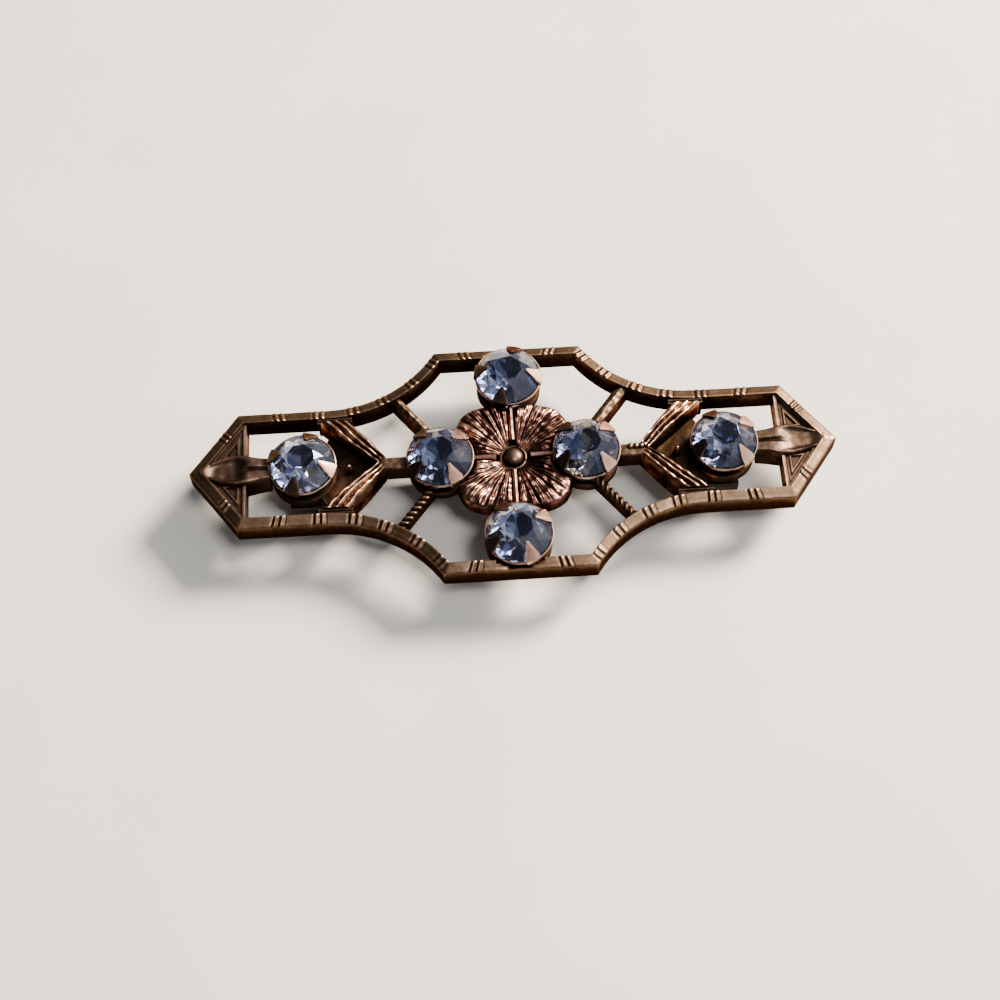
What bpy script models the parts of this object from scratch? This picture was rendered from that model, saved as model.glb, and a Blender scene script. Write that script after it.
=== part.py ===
"""Openwork bar brooch: cast frame, six claw settings with cut stones, centre flower and pin back.

Metres, +Z up, the length along X. The origin is under the middle, on the surface that it rests on.
"""
import math

import bmesh
import bpy
from mathutils import Matrix, Vector

# Outline of the frame, seen from the front
HALF_LENGTH = 0.0248
END_POINT_LENGTH = 0.0037
FLANK_HALF_WIDTH = 0.0050
WAIST_X = 0.0090
FLANK_RADIUS = 0.0100
BULGE_HALF_LENGTH = 0.00575
BULGE_HALF_WIDTH = 0.0097

# Rail of the frame
RAIL_WIDTH = 0.00088
RAIL_DEPTH = 0.0020
RAIL_DROP = 0.00028
TICK_WIDTH = 0.00014
TICK_DEPTH = 0.00014
TICK_SPACING = 0.00040

# Stones
STONE_RADIUS = 0.0025
TABLE_RADIUS = 0.00108
CROWN_HEIGHT = 0.00115
GIRDLE_THICKNESS = 0.00020
PAVILION_DEPTH = 0.0016
STAR_RADIUS = 0.00175
LOWER_RADIUS = 0.0012
TIP_TO_STONE = 0.0087
INNER_STONE_X = 0.0056
SIDE_STONE_SETBACK = 0.00035

# Settings
CUP_BASE_RADIUS = 0.0012
CUP_WALL = 0.00020
CUP_FLOOR = 0.00035
CUP_FLOOR_RADIUS = 0.00020
CLAW_THICKNESS = 0.00022
CLAW_HALF_WIDTH = 0.00060
CLAW_TIP_HALF_WIDTH = 0.00012
CLAW_TIP_RADIUS = 0.00155
SEAT_THICKNESS = 0.0008
SEAT_WIDTH = 0.0013

# Leaves and bars inside the frame
WING_SETBACK = 0.00065
WING_RECESS = 0.00045
WING_GROOVE_WIDTH = 0.00016
WING_GROOVE_DEPTH = 0.00018
WING_GROOVE_SPACING = 0.00035
LOBE_TIP_ROOM = 0.0013
LOBE_HALF_WIDTH = 0.0014
LOBE_EDGE_RECESS = 0.00030
LOBE_CREST = 0.00050
CHEVRON_REACH = 0.0060
CHEVRON_APEX_HALF_WIDTH = 0.00024
CHEVRON_ROOT_REACH = 0.0025
CHEVRON_HALF_WIDTH = 0.00092
CHEVRON_EDGE_RECESS = 0.00018
CHEVRON_CREST = 0.00035
CHEVRON_RIB_HEIGHT = 0.00016
COLLAR_WIDTH = 0.00035
COLLAR_RECESS = 0.00010
CHEVRON_FLOOR_THICKNESS = 0.0006
LINK_WIDTH = 0.0010
LINK_RECESS = 0.00030
LINK_BEAD_RADIUS = 0.00030
LINK_BEAD_SPACING = 0.00036
STRUT_SEAT_ANGLE = math.radians(76)
STRUT_ANGLE = math.radians(52)
STRUT_WALL_WIDTH = 0.00050
STRUT_RECESS = 0.00040
ROPE_RECESS = 0.00056
ROPE_RADIUS = 0.00040
ROPE_FLATNESS = 0.6
ROPE_LAY_LENGTH = 0.0016
CROSS_BAR_WIDTH = 0.00045
CROSS_BAR_RECESS = 0.00070
BOSS_HEIGHT = 0.00035

# Flower
PETAL_RADIUS = 0.0053
PETAL_THICKNESS = 0.00050
PETAL_RISE = 0.00070
PETAL_RIB_HEIGHT = 0.00022
PETAL_RIB_REACH = 0.00015
HUB_RADIUS = 0.00108
HUB_HEIGHT = 0.00090
HUB_ROUNDING = 0.00015
BEAD_RADIUS = 0.00078
BEAD_HEIGHT = 0.00055
SHANK_RADIUS = 0.00040

# Pin back
BACK_HEIGHT = 0.0026
STRIP_THICKNESS = 0.0005
STRIP_WIDTH = 0.0010
FOOT_LENGTH = 0.0024
FOOT_HALF_WIDTH = 0.0022
PIN_OFFSET = 0.0011
STEM_RADIUS = 0.00040
STEM_TIP_RADIUS = 0.00020
CATCH_LIP = 0.00050

# Room between pieces, and how far soldered parts run into each other
CLEARANCE = 0.0003
STONE_GAP = 0.00020
CUP_GAP = 0.00025
FUSE_DEPTH = 0.0003
CUT_MARGIN = 0.0001

# Fineness of the round and shaped forms
CUP_SIDES = 16
CLAWS = 4
ROUND_SIDES = 24
ARC_STEPS = 8
PETAL_RIBS = 7
PETAL_STEPS = 7
CHEVRON_RIBS = 4
CHEVRON_STEPS = 5
LOBE_STEPS = 6
LOBE_STRIPS = 4
WING_GROOVES = 2
ROPE_SIDES = 8
ROPE_STEPS_PER_LAY = 8
BEAD_STEPS = 4
SMALL_BEAD_SIDES = 10
SMALL_BEAD_RINGS = 6
STEM_SIDES = 12
CREASE_ANGLE = math.radians(30)
MERGE_DISTANCE = 3e-7
PARALLEL = 1e-12
LEVEL_SLOPE = math.radians(25)

# Levels, measured up from the surface
FRAME_BACK = BACK_HEIGHT + CLEARANCE
RAIL_TOP = FRAME_BACK + RAIL_DEPTH
CULET_LEVEL = FRAME_BACK + CUP_FLOOR + STONE_GAP
GIRDLE_LOW = CULET_LEVEL + PAVILION_DEPTH
GIRDLE_HIGH = GIRDLE_LOW + GIRDLE_THICKNESS
TABLE_LEVEL = GIRDLE_HIGH + CROWN_HEIGHT
PETAL_BACK = FRAME_BACK + BOSS_HEIGHT + CUP_GAP
SEAT_TOP = FRAME_BACK + SEAT_THICKNESS

# What fits together
END_CORNER_X = HALF_LENGTH - END_POINT_LENGTH
END_STONE_X = HALF_LENGTH - TIP_TO_STONE
WING_X = END_CORNER_X - WING_SETBACK
CHEVRON_APEX_X = END_STONE_X - CHEVRON_REACH
CHEVRON_RAIL_X = END_STONE_X - CHEVRON_ROOT_REACH
RAIL_SLOPE = math.atan2(RAIL_DROP, RAIL_WIDTH)
PAVILION_SLOPE = math.atan2(PAVILION_DEPTH, STONE_RADIUS)
CROWN_SLOPE = math.atan2(CROWN_HEIGHT, STONE_RADIUS - TABLE_RADIUS)
CUP_RIM = GIRDLE_LOW - CUP_WALL * math.tan(PAVILION_SLOPE) - STONE_GAP / math.cos(PAVILION_SLOPE)
RIM_INNER = STONE_RADIUS - CUP_WALL / 2
RIM_OUTER = RIM_INNER + CUP_WALL
CLAW_INNER = STONE_RADIUS + STONE_GAP
CLAW_OUTER = CLAW_INNER + CLAW_THICKNESS
SEAT_RADIUS = CUP_BASE_RADIUS + SEAT_WIDTH
BOSS_RADIUS = HUB_RADIUS + CUP_GAP + FUSE_DEPTH
SIDE_STONE_Y = BULGE_HALF_WIDTH - SIDE_STONE_SETBACK - STONE_RADIUS
INNER_FLANK = FLANK_HALF_WIDTH - RAIL_WIDTH

# One row for each setting: name, centre, and the turn of its first claw in degrees
SETTINGS = (
    ("left_end", (-END_STONE_X, 0.0), -16),
    ("left_inner", (-INNER_STONE_X, 0.0), 30),
    ("top", (0.0, SIDE_STONE_Y), -13),
    ("bottom", (0.0, -SIDE_STONE_Y), 28),
    ("right_inner", (INNER_STONE_X, 0.0), 40),
    ("right_end", (END_STONE_X, 0.0), 30),
)

# Places of the paired grooves, as shares of the way from a tip to the middle of the bulge
TICK_SHARES = (0.14, 0.32, 0.43, 0.52, 0.60, 0.69, 0.77, 0.88)

# Sections of an end bud from its tip to its seat: shares of its length, half width and crest
LOBE_SECTIONS = ((0.0, 0.06, 0.45), (0.3, 0.86, 0.85), (0.55, 1.0, 1.0), (0.8, 0.85, 0.9), (1.0, 0.60, 0.7))

# Sections of a chevron leaf from its collar to the apex: shares of its length, half width and crest
LEAF_SECTIONS = ((0.0, 0.90, 0.0), (0.3, 1.0, 1.0), (0.7, 0.78, 0.9), (1.0, 0.40, 0.4))

# Sections of a petal from the hub to its edge: shares of its length, rise and rib height
PETAL_SECTIONS = ((0.0, 0.3, 0.4), (0.5, 0.75, 0.8), (0.8, 1.0, 1.0), (1.0, 0.9, 1.0))

# Beads on top of the link bar, left and right
LINK_BEADS = {-1: 0, 1: 3}


def clear_scene():
    """Remove whatever the file holds."""
    for old in list(bpy.data.objects):
        bpy.data.objects.remove(old, do_unlink=True)


def make_material(name, colour, roughness, metallic):
    """A plain Principled finish."""
    material = bpy.data.materials.new(name)
    material.use_nodes = True
    shader = material.node_tree.nodes["Principled BSDF"]
    shader.inputs["Base Color"].default_value = (*colour, 1.0)
    shader.inputs["Roughness"].default_value = roughness
    shader.inputs["Metallic"].default_value = metallic
    return material


def frame_brass():
    return make_material("tarnished_rose_brass", (0.20, 0.11, 0.075), 0.42, 1.0)


def claw_brass():
    return make_material("rubbed_rose_brass", (0.48, 0.27, 0.18), 0.32, 1.0)


def flower_brass():
    return make_material("bright_rose_brass", (0.38, 0.20, 0.13), 0.35, 1.0)


def stone_glass():
    return make_material("foiled_grey_blue_glass", (0.10, 0.13, 0.22), 0.05, 0.4)


def pin_steel():
    return make_material("dull_pin_metal", (0.30, 0.27, 0.24), 0.45, 1.0)


def as_object(name, shape, material=None):
    """Close a bmesh into an object with its faces out."""
    bmesh.ops.recalc_face_normals(shape, faces=shape.faces)
    mesh = bpy.data.meshes.new(name)
    shape.to_mesh(mesh)
    shape.free()
    if material:
        mesh.materials.append(material)
    made = bpy.data.objects.new(name, mesh)
    bpy.context.collection.objects.link(made)
    return made


def without_slivers(mesh):
    """Merge the points and drop the faces that a cut leaves nearly on top of each other."""
    shape = bmesh.new()
    shape.from_mesh(mesh)
    bmesh.ops.remove_doubles(shape, verts=shape.verts, dist=MERGE_DISTANCE)
    bmesh.ops.dissolve_degenerate(shape, edges=shape.edges, dist=MERGE_DISTANCE)
    shape.to_mesh(mesh)
    shape.free()
    return mesh


def combined(base, others, operation):
    """Fuse the other solids with the base, or cut them out of it, and leave only the result."""
    group = bpy.data.collections.new("tools")
    for other in others:
        group.objects.link(other)
    change = base.modifiers.new("combine", "BOOLEAN")
    change.operation = operation
    change.solver = "EXACT"
    change.operand_type = "COLLECTION"
    change.collection = group
    result = bpy.data.meshes.new_from_object(base.evaluated_get(bpy.context.evaluated_depsgraph_get()))
    base.modifiers.clear()
    base.data = without_slivers(result)
    result.name = base.name
    for other in others:
        bpy.data.objects.remove(other, do_unlink=True)
    bpy.data.collections.remove(group)
    return base


def smooth(made):
    """Shade the round faces smooth and keep the edges that are sharper than a crease."""
    made.data.shade_smooth()
    made.data.set_sharp_from_angle(angle=CREASE_ANGLE)


def grow(shape, face, keep=False):
    """Extrude a face, without its own place unless that closes the start, and return the new end face."""
    grown = bmesh.ops.extrude_face_region(shape, geom=[face])["geom"]
    if not keep:
        bmesh.ops.delete(shape, geom=[face], context="FACES_ONLY")
    return next(item for item in grown if isinstance(item, bmesh.types.BMFace))


def prism(outline, low, high):
    """An upright solid over a flat outline."""
    shape = bmesh.new()
    floor = shape.faces.new([shape.verts.new((x, y, low)) for x, y in outline])
    top = grow(shape, floor, keep=True)
    bmesh.ops.translate(shape, vec=(0, 0, high - low), verts=top.verts)
    return shape


def block(centre, size, turn=0.0, tilt=0.0):
    """A box by its centre and full size, tilted about its own length and turned about Z."""
    shape = bmesh.new()
    facing = Matrix.Rotation(turn, 4, "Z") @ Matrix.Rotation(tilt, 4, "X")
    place = Matrix.Translation(centre) @ facing @ Matrix.Diagonal((*size, 1.0))
    bmesh.ops.create_cube(shape, size=1.0, matrix=place)
    return shape


def standing_block(start, end, width, high):
    """An upright bar between two points in plan, from the frame's back up to a level."""
    middle = (start + end) / 2
    way = end - start
    centre = (*middle, (FRAME_BACK + high) / 2)
    return block(centre, (way.length, width, high - FRAME_BACK), math.atan2(way.y, way.x))


def turned(profile, sides, centre=(0.0, 0.0)):
    """A solid of revolution from a profile of radius and height that starts and ends on the axis."""
    shape = bmesh.new()
    points = [shape.verts.new((radius, 0.0, height)) for radius, height in profile]
    line = [shape.edges.new(pair) for pair in zip(points, points[1:])]
    bmesh.ops.spin(
        shape,
        geom=points + line,
        cent=(0, 0, 0),
        axis=(0, 0, 1),
        angle=2 * math.pi,
        steps=sides,
        use_merge=True,
    )
    bmesh.ops.remove_doubles(shape, verts=shape.verts, dist=MERGE_DISTANCE)
    bmesh.ops.translate(shape, vec=(*centre, 0.0), verts=shape.verts)
    return shape


def disc(radius, low, high, centre=(0.0, 0.0)):
    """A flat round solid."""
    return turned(((0.0, low), (radius, low), (radius, high), (0.0, high)), ROUND_SIDES, centre)


def carved(columns, rows, surface, low):
    """A solid with a shaped top: surface(u, v) gives the top point for u, v from 0 to 1."""
    shape = bmesh.new()
    bmesh.ops.create_grid(shape, x_segments=columns, y_segments=rows, size=0.5)
    for vert in shape.verts:
        vert.co = surface(vert.co.x + 0.5, vert.co.y + 0.5)
    under = bmesh.ops.extrude_face_region(shape, geom=shape.faces[:])["geom"]
    for item in under:
        if isinstance(item, bmesh.types.BMVert):
            item.co.z = low
    return shape


def section(table, share):
    """The columns of a table of sections at a share of the length, straight between its rows."""
    for before, after in zip(table, table[1:]):
        if share <= after[0]:
            break
    step = min(1.0, (share - before[0]) / (after[0] - before[0]))
    return [low + (high - low) * step for low, high in zip(before[1:], after[1:])]


def ribbed(v, ribs):
    """Height from 0 in the grooves to 1 on the ridges, for v from 0 to 1 across a leaf."""
    return 1.0 - abs((v * ribs) % 1.0 - 0.5) * 2.0


def rounded_corner(corner, first, last):
    """Points of the arc that rounds the corner between the ways to two other points."""
    to_first = (first - corner).normalized()
    to_last = (last - corner).normalized()
    half = to_first.angle(to_last) / 2
    centre = corner + (to_first + to_last).normalized() * FLANK_RADIUS / math.sin(half)
    start = corner + to_first * FLANK_RADIUS / math.tan(half) - centre
    sweep = start.angle_signed(corner + to_last * FLANK_RADIUS / math.tan(half) - centre)
    return [centre + Matrix.Rotation(-sweep * step / ARC_STEPS, 2) @ start for step in range(ARC_STEPS + 1)]


def quarter_outline():
    """Outer edge of the frame from the right tip to the bulge's upper right corner."""
    tip = Vector((HALF_LENGTH, 0.0))
    end_corner = Vector((END_CORNER_X, FLANK_HALF_WIDTH))
    waist = Vector((WAIST_X, FLANK_HALF_WIDTH))
    bulge = Vector((BULGE_HALF_LENGTH, BULGE_HALF_WIDTH))
    return [tip, end_corner, *rounded_corner(waist, end_corner, bulge), bulge]


def full_outline():
    """The whole outer edge, counter-clockwise from the right tip."""
    quarter = quarter_outline()
    upper = quarter + [Vector((-point.x, point.y)) for point in reversed(quarter)]
    lower = [Vector((point.x, -point.y)) for point in reversed(upper)]
    return upper + lower[1:-1]


def along(points, share):
    """The point at a share of a line's length, and the line's direction there."""
    lengths = [(after - before).length for before, after in zip(points, points[1:])]
    left = share * sum(lengths)
    for before, after, length in zip(points, points[1:], lengths):
        if left <= length:
            break
        left -= length
    way = (after - before).normalized()
    return before + way * left, way


def ray_to_outline(start, way):
    """Where a ray from inside the frame meets its outer edge."""
    points = full_outline()
    for before, after in zip(points, points[1:] + points[:1]):
        edge = after - before
        cross = way.cross(edge)
        if abs(cross) < PARALLEL:
            continue
        reach = (before - start).cross(edge) / cross
        share = (before - start).cross(way) / cross
        if reach > 0 and 0 <= share <= 1:
            return start + way * reach
    return start


def rail():
    """The frame's rim: a band inside the outline whose top slopes down to the outer edge."""
    shape = bmesh.new()
    outline = full_outline()
    plate = shape.faces.new([shape.verts.new((*point, FRAME_BACK)) for point in outline])
    plate.normal_update()
    bmesh.ops.inset_region(
        shape, faces=[plate], thickness=RAIL_WIDTH, use_even_offset=True, use_boundary=True
    )
    bmesh.ops.delete(shape, geom=[plate], context="FACES_ONLY")
    for item in bmesh.ops.extrude_face_region(shape, geom=shape.faces[:])["geom"]:
        if isinstance(item, bmesh.types.BMVert):
            outer = any((item.co.xy - point).length < MERGE_DISTANCE for point in outline)
            item.co.z = RAIL_TOP - RAIL_DROP if outer else RAIL_TOP
    return as_object("rail", shape)


def rail_ticks():
    """Cutters for the paired grooves across the rail's sloping top."""
    path = quarter_outline() + [Vector((0.0, BULGE_HALF_WIDTH))]
    size = (TICK_WIDTH, 3 * RAIL_WIDTH, 2 * TICK_DEPTH)
    cutters = []
    for share in TICK_SHARES:
        place, way = along(path, share)
        for step in (-TICK_SPACING / 2, TICK_SPACING / 2):
            spot = place + way * step
            for side in (-1, 1):
                for up in (-1, 1):
                    turn = math.atan2(way.y * up, way.x * side)
                    centre = (spot.x * side, spot.y * up, RAIL_TOP - RAIL_DROP)
                    cutters.append(as_object("tick", block(centre, size, turn, side * up * RAIL_SLOPE)))
    return cutters


def end_plate(side):
    """The plate that fills the frame's pointed end, out to the middle of the rail."""
    reach = RAIL_WIDTH / 2
    half = FLANK_HALF_WIDTH - reach
    slope = Vector((HALF_LENGTH - END_CORNER_X, FLANK_HALF_WIDTH)).normalized()
    corner_x = END_CORNER_X - reach * (1 - slope.x) / slope.y
    tip_x = HALF_LENGTH - reach / slope.y
    outline = ((WING_X, -half), (corner_x, -half), (tip_x, 0.0), (corner_x, half), (WING_X, half))
    points = [(side * x, y) for x, y in outline]
    return as_object("end_plate", prism(points, FRAME_BACK, RAIL_TOP - WING_RECESS))


def wing_grooves(side):
    """Cutters for the nested grooves in the two wings of an end plate."""
    cutters = []
    for up in (-1, 1):
        for step in range(1, WING_GROOVES + 1):
            offset = step * WING_GROOVE_SPACING
            length = (INNER_FLANK - LOBE_HALF_WIDTH) / step
            middle_y = LOBE_HALF_WIDTH + offset + length / 2
            centre = (side * (WING_X + offset), up * middle_y, RAIL_TOP - WING_RECESS)
            size = (WING_GROOVE_WIDTH, length, 2 * WING_GROOVE_DEPTH)
            cutters.append(as_object("groove", block(centre, size)))
    return cutters


def end_lobe(side):
    """The bud on the axis of an end, ridged along its middle, running into the end seat."""
    tip_x = HALF_LENGTH - LOBE_TIP_ROOM
    length = tip_x - END_STONE_X - SEAT_RADIUS + CUT_MARGIN

    def surface(u, v):
        width, crest = section(LOBE_SECTIONS, u)
        across = 2 * v - 1
        height = RAIL_TOP - LOBE_EDGE_RECESS + LOBE_CREST * crest * (1 - abs(across))
        return side * (tip_x - u * length), across * width * LOBE_HALF_WIDTH, height

    return as_object("end_lobe", carved(LOBE_STEPS, LOBE_STRIPS, surface, FRAME_BACK))


def chevron_root(side, up):
    """Middle of the collar where a chevron leaf meets the rail's inner side."""
    return Vector((side * CHEVRON_RAIL_X, up * (INNER_FLANK - COLLAR_WIDTH / 2)))


def chevron_leaf(side, up):
    """A ribbed leaf from the collar at the rail to the chevron's apex on the axis."""
    root = chevron_root(side, up)
    way = Vector((side * CHEVRON_APEX_X, up * CHEVRON_APEX_HALF_WIDTH)) - root
    across = Vector((-way.y, way.x)).normalized()

    def surface(u, v):
        width, crest = section(LEAF_SECTIONS, u)
        lateral = 2 * v - 1
        spot = root + way * u + across * lateral * width * CHEVRON_HALF_WIDTH
        height = RAIL_TOP - CHEVRON_EDGE_RECESS + CHEVRON_CREST * crest * (1 - lateral**2)
        return spot.x, spot.y, height + CHEVRON_RIB_HEIGHT * ribbed(v, CHEVRON_RIBS)

    return as_object("chevron_leaf", carved(CHEVRON_STEPS, 2 * CHEVRON_RIBS, surface, FRAME_BACK))


def chevron_collar(side, up):
    """The small bar along the rail at the root of a chevron leaf."""
    root = chevron_root(side, up)
    half = Vector((CHEVRON_HALF_WIDTH, 0.0))
    width = COLLAR_WIDTH + 2 * CUT_MARGIN
    return as_object("collar", standing_block(root - half, root + half, width, RAIL_TOP - COLLAR_RECESS))


def chevron_floor(side):
    """The recessed plate between the two leaves of a chevron and the end seat."""
    root = chevron_root(side, 1)
    apex = side * CHEVRON_APEX_X
    outline = ((apex, 0.0), (root.x, root.y), (side * END_STONE_X, 0.0), (root.x, -root.y))
    return as_object("chevron_floor", prism(outline, FRAME_BACK, FRAME_BACK + CHEVRON_FLOOR_THICKNESS))


def link_bar(side):
    """The bar on the axis between an inner seat and the chevron's apex."""
    start = Vector((side * (INNER_STONE_X + SEAT_RADIUS - FUSE_DEPTH), 0.0))
    end = Vector((side * (CHEVRON_APEX_X + FUSE_DEPTH), 0.0))
    return as_object("link_bar", standing_block(start, end, LINK_WIDTH, RAIL_TOP - LINK_RECESS))


def link_beads(side):
    """The small beads along the top of a link bar."""
    start = INNER_STONE_X + CLAW_OUTER + CUP_GAP + LINK_BEAD_RADIUS
    room = CHEVRON_APEX_X - LINK_BEAD_RADIUS - start
    count = min(LINK_BEADS[side], math.floor(room / LINK_BEAD_SPACING) + 1)
    beads = []
    for index in range(count):
        shape = bmesh.new()
        place = Matrix.Translation((side * (start + index * LINK_BEAD_SPACING), 0.0, RAIL_TOP - LINK_RECESS))
        bmesh.ops.create_uvsphere(
            shape,
            u_segments=SMALL_BEAD_SIDES,
            v_segments=SMALL_BEAD_RINGS,
            radius=LINK_BEAD_RADIUS,
            matrix=place,
        )
        beads.append(as_object("link_bead", shape))
    return beads


def strut_line(side, up):
    """Where a strut leaves its seat, and where it ends inside the rail."""
    out = Vector((side * math.cos(STRUT_SEAT_ANGLE), up * math.sin(STRUT_SEAT_ANGLE)))
    start = Vector((side * INNER_STONE_X, 0.0)) + out * (SEAT_RADIUS - FUSE_DEPTH)
    way = Vector((side * math.cos(STRUT_ANGLE), up * math.sin(STRUT_ANGLE)))
    return start, ray_to_outline(start, way) - way * (RAIL_WIDTH - FUSE_DEPTH)


def strut_wall(side, up):
    """The upright web of a strut."""
    start, end = strut_line(side, up)
    return as_object("strut_wall", standing_block(start, end, STRUT_WALL_WIDTH, RAIL_TOP - STRUT_RECESS))


def strut_rope(side, up):
    """The twisted wire along the top of a strut."""
    start, end = strut_line(side, up)
    way = end - start
    steps = math.ceil(way.length / ROPE_LAY_LENGTH * ROPE_STEPS_PER_LAY)
    shape = bmesh.new()
    ring = bmesh.ops.create_circle(shape, cap_ends=True, segments=ROPE_SIDES, radius=ROPE_RADIUS)["verts"]
    bmesh.ops.scale(shape, vec=(1.0, ROPE_FLATNESS, 1.0), verts=ring)
    end_face = next(iter(shape.faces))
    turn = Matrix.Rotation(math.pi * way.length / ROPE_LAY_LENGTH / steps, 3, "Z")
    for step in range(steps):
        end_face = grow(shape, end_face, keep=step == 0)
        bmesh.ops.translate(shape, vec=(0, 0, way.length / steps), verts=end_face.verts)
        bmesh.ops.rotate(shape, cent=(0, 0, 0), matrix=turn, verts=end_face.verts)
    place = (
        Matrix.Translation((*start, RAIL_TOP - ROPE_RECESS))
        @ Matrix.Rotation(math.atan2(way.y, way.x), 4, "Z")
        @ Matrix.Rotation(math.pi / 2, 4, "Y")
    )
    bmesh.ops.transform(shape, matrix=place, verts=shape.verts)
    return as_object("strut_rope", shape)


def cross_bar(way, seat_distance):
    """The ridge between two petals, from the centre boss to a seat."""
    start = way * (HUB_RADIUS + CUP_GAP)
    end = way * (seat_distance - SEAT_RADIUS + FUSE_DEPTH)
    return as_object("cross_bar", standing_block(start, end, CROSS_BAR_WIDTH, RAIL_TOP - CROSS_BAR_RECESS))


def seat(centre):
    """The disc under a setting, before the setting's form is cut out of it."""
    return as_object("seat", disc(SEAT_RADIUS, FRAME_BACK, SEAT_TOP, centre))


def setting_room(centre):
    """The space that a setting takes in the frame: its cone, and its claws above it, with room round them."""
    slope = (RIM_OUTER - CUP_BASE_RADIUS) / (CUP_RIM - FRAME_BACK)
    spread = CUP_GAP * math.hypot(1.0, slope)
    below = FRAME_BACK - CUT_MARGIN
    claws_from = CUP_RIM - CUP_GAP
    reach = CLAW_OUTER + CUP_GAP
    profile = (
        (0.0, below),
        (CUP_BASE_RADIUS + spread - slope * CUT_MARGIN, below),
        (CUP_BASE_RADIUS + spread + slope * (claws_from - FRAME_BACK), claws_from),
        (reach, claws_from),
        (reach, TABLE_LEVEL),
        (0.0, TABLE_LEVEL),
    )
    return as_object("setting_room", turned(profile, ROUND_SIDES, centre))


def boss():
    """The disc that carries the flower."""
    return as_object("boss", disc(BOSS_RADIUS, FRAME_BACK, FRAME_BACK + BOSS_HEIGHT))


def shank_room():
    """The hole through the boss for the flower's shank."""
    return as_object("shank_room", disc(SHANK_RADIUS + CUP_GAP, BACK_HEIGHT, RAIL_TOP))


def filigree_frame():
    """All of the cast and soldered openwork as one solid."""
    parts = [boss()]
    parts += [seat(centre) for _, centre, _ in SETTINGS]
    for side in (-1, 1):
        parts += [end_plate(side), end_lobe(side), chevron_floor(side), link_bar(side), *link_beads(side)]
        parts.append(cross_bar(Vector((side, 0)), INNER_STONE_X))
        parts.append(cross_bar(Vector((0, side)), SIDE_STONE_Y))
        for up in (-1, 1):
            parts += [chevron_leaf(side, up), chevron_collar(side, up)]
            parts += [strut_wall(side, up), strut_rope(side, up)]
    frame = combined(rail(), parts, "UNION")
    rooms = [setting_room(centre) for _, centre, _ in SETTINGS]
    cuts = rooms + [shank_room(), *rail_ticks(), *wing_grooves(-1), *wing_grooves(1)]
    frame = combined(frame, cuts, "DIFFERENCE")
    frame.name = "filigree_frame"
    frame.data.materials.append(frame_brass())
    return frame


def cup_shape():
    """The hollow cone of a setting about the axis."""
    floor = FRAME_BACK + CUP_FLOOR
    profile = (
        (0.0, FRAME_BACK),
        (CUP_BASE_RADIUS, FRAME_BACK),
        (RIM_OUTER, CUP_RIM),
        (RIM_INNER, CUP_RIM),
        (CUP_FLOOR_RADIUS, floor),
        (0.0, floor),
    )
    return turned(profile, CUP_SIDES)


def claw_stations():
    """Sections of a claw from below the girdle to its tip: inner and outer radius and height, half width."""
    lift = STONE_GAP / math.cos(CROWN_SLOPE)
    rise = CLAW_THICKNESS / math.cos(CROWN_SLOPE)
    tip = GIRDLE_HIGH + (STONE_RADIUS - CLAW_TIP_RADIUS) * math.tan(CROWN_SLOPE) + lift
    knee = (lift + rise) / 2
    return (
        ((CLAW_INNER, GIRDLE_LOW - STONE_GAP / 4), (CLAW_OUTER, GIRDLE_LOW - STONE_GAP), CLAW_HALF_WIDTH),
        ((CLAW_INNER, GIRDLE_HIGH + STONE_GAP / 2), (CLAW_OUTER, GIRDLE_HIGH + knee), CLAW_HALF_WIDTH),
        ((CLAW_TIP_RADIUS, tip), (CLAW_TIP_RADIUS, tip + rise), CLAW_TIP_HALF_WIDTH),
    )


def grow_claw(shape, face):
    """Draw one claw out of a face of the cup's rim and fold it over the stone."""
    centre = face.calc_center_median()
    out = Vector((centre.x, centre.y, 0.0)).normalized()
    side = Vector((-out.y, out.x, 0.0))
    for inner, outer, half_width in claw_stations():
        face = grow(shape, face)
        middle = face.calc_center_median()
        for vert in face.verts:
            radius, height = outer if vert.co.dot(out) > middle.dot(out) else inner
            lateral = math.copysign(half_width, vert.co.dot(side))
            vert.co = out * radius + side * lateral + Vector((0.0, 0.0, height))


def claw_setting(name, centre, turn):
    """A cup with four claws, its first claw at the given turn."""
    shape = cup_shape()
    bmesh.ops.recalc_face_normals(shape, faces=shape.faces)
    rim = [
        face
        for face in shape.faces
        if face.normal.angle(Vector((0, 0, 1))) < LEVEL_SLOPE and face.calc_center_median().z > SEAT_TOP
    ]
    rim.sort(key=lambda face: math.atan2(face.calc_center_median().y, face.calc_center_median().x))
    for face in rim[:: CUP_SIDES // CLAWS]:
        grow_claw(shape, face)
    first = math.radians(turn) - math.pi / CUP_SIDES
    bmesh.ops.rotate(shape, cent=(0, 0, 0), matrix=Matrix.Rotation(first, 3, "Z"), verts=shape.verts)
    bmesh.ops.translate(shape, vec=(*centre, 0.0), verts=shape.verts)
    return as_object(f"setting_{name}", shape, claw_brass())


def ring_points(radius, height, count, turn=0.0):
    """Points evenly round the axis."""
    angles = [turn + 2 * math.pi * index / count for index in range(count)]
    return [(radius * math.cos(angle), radius * math.sin(angle), height) for angle in angles]


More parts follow.
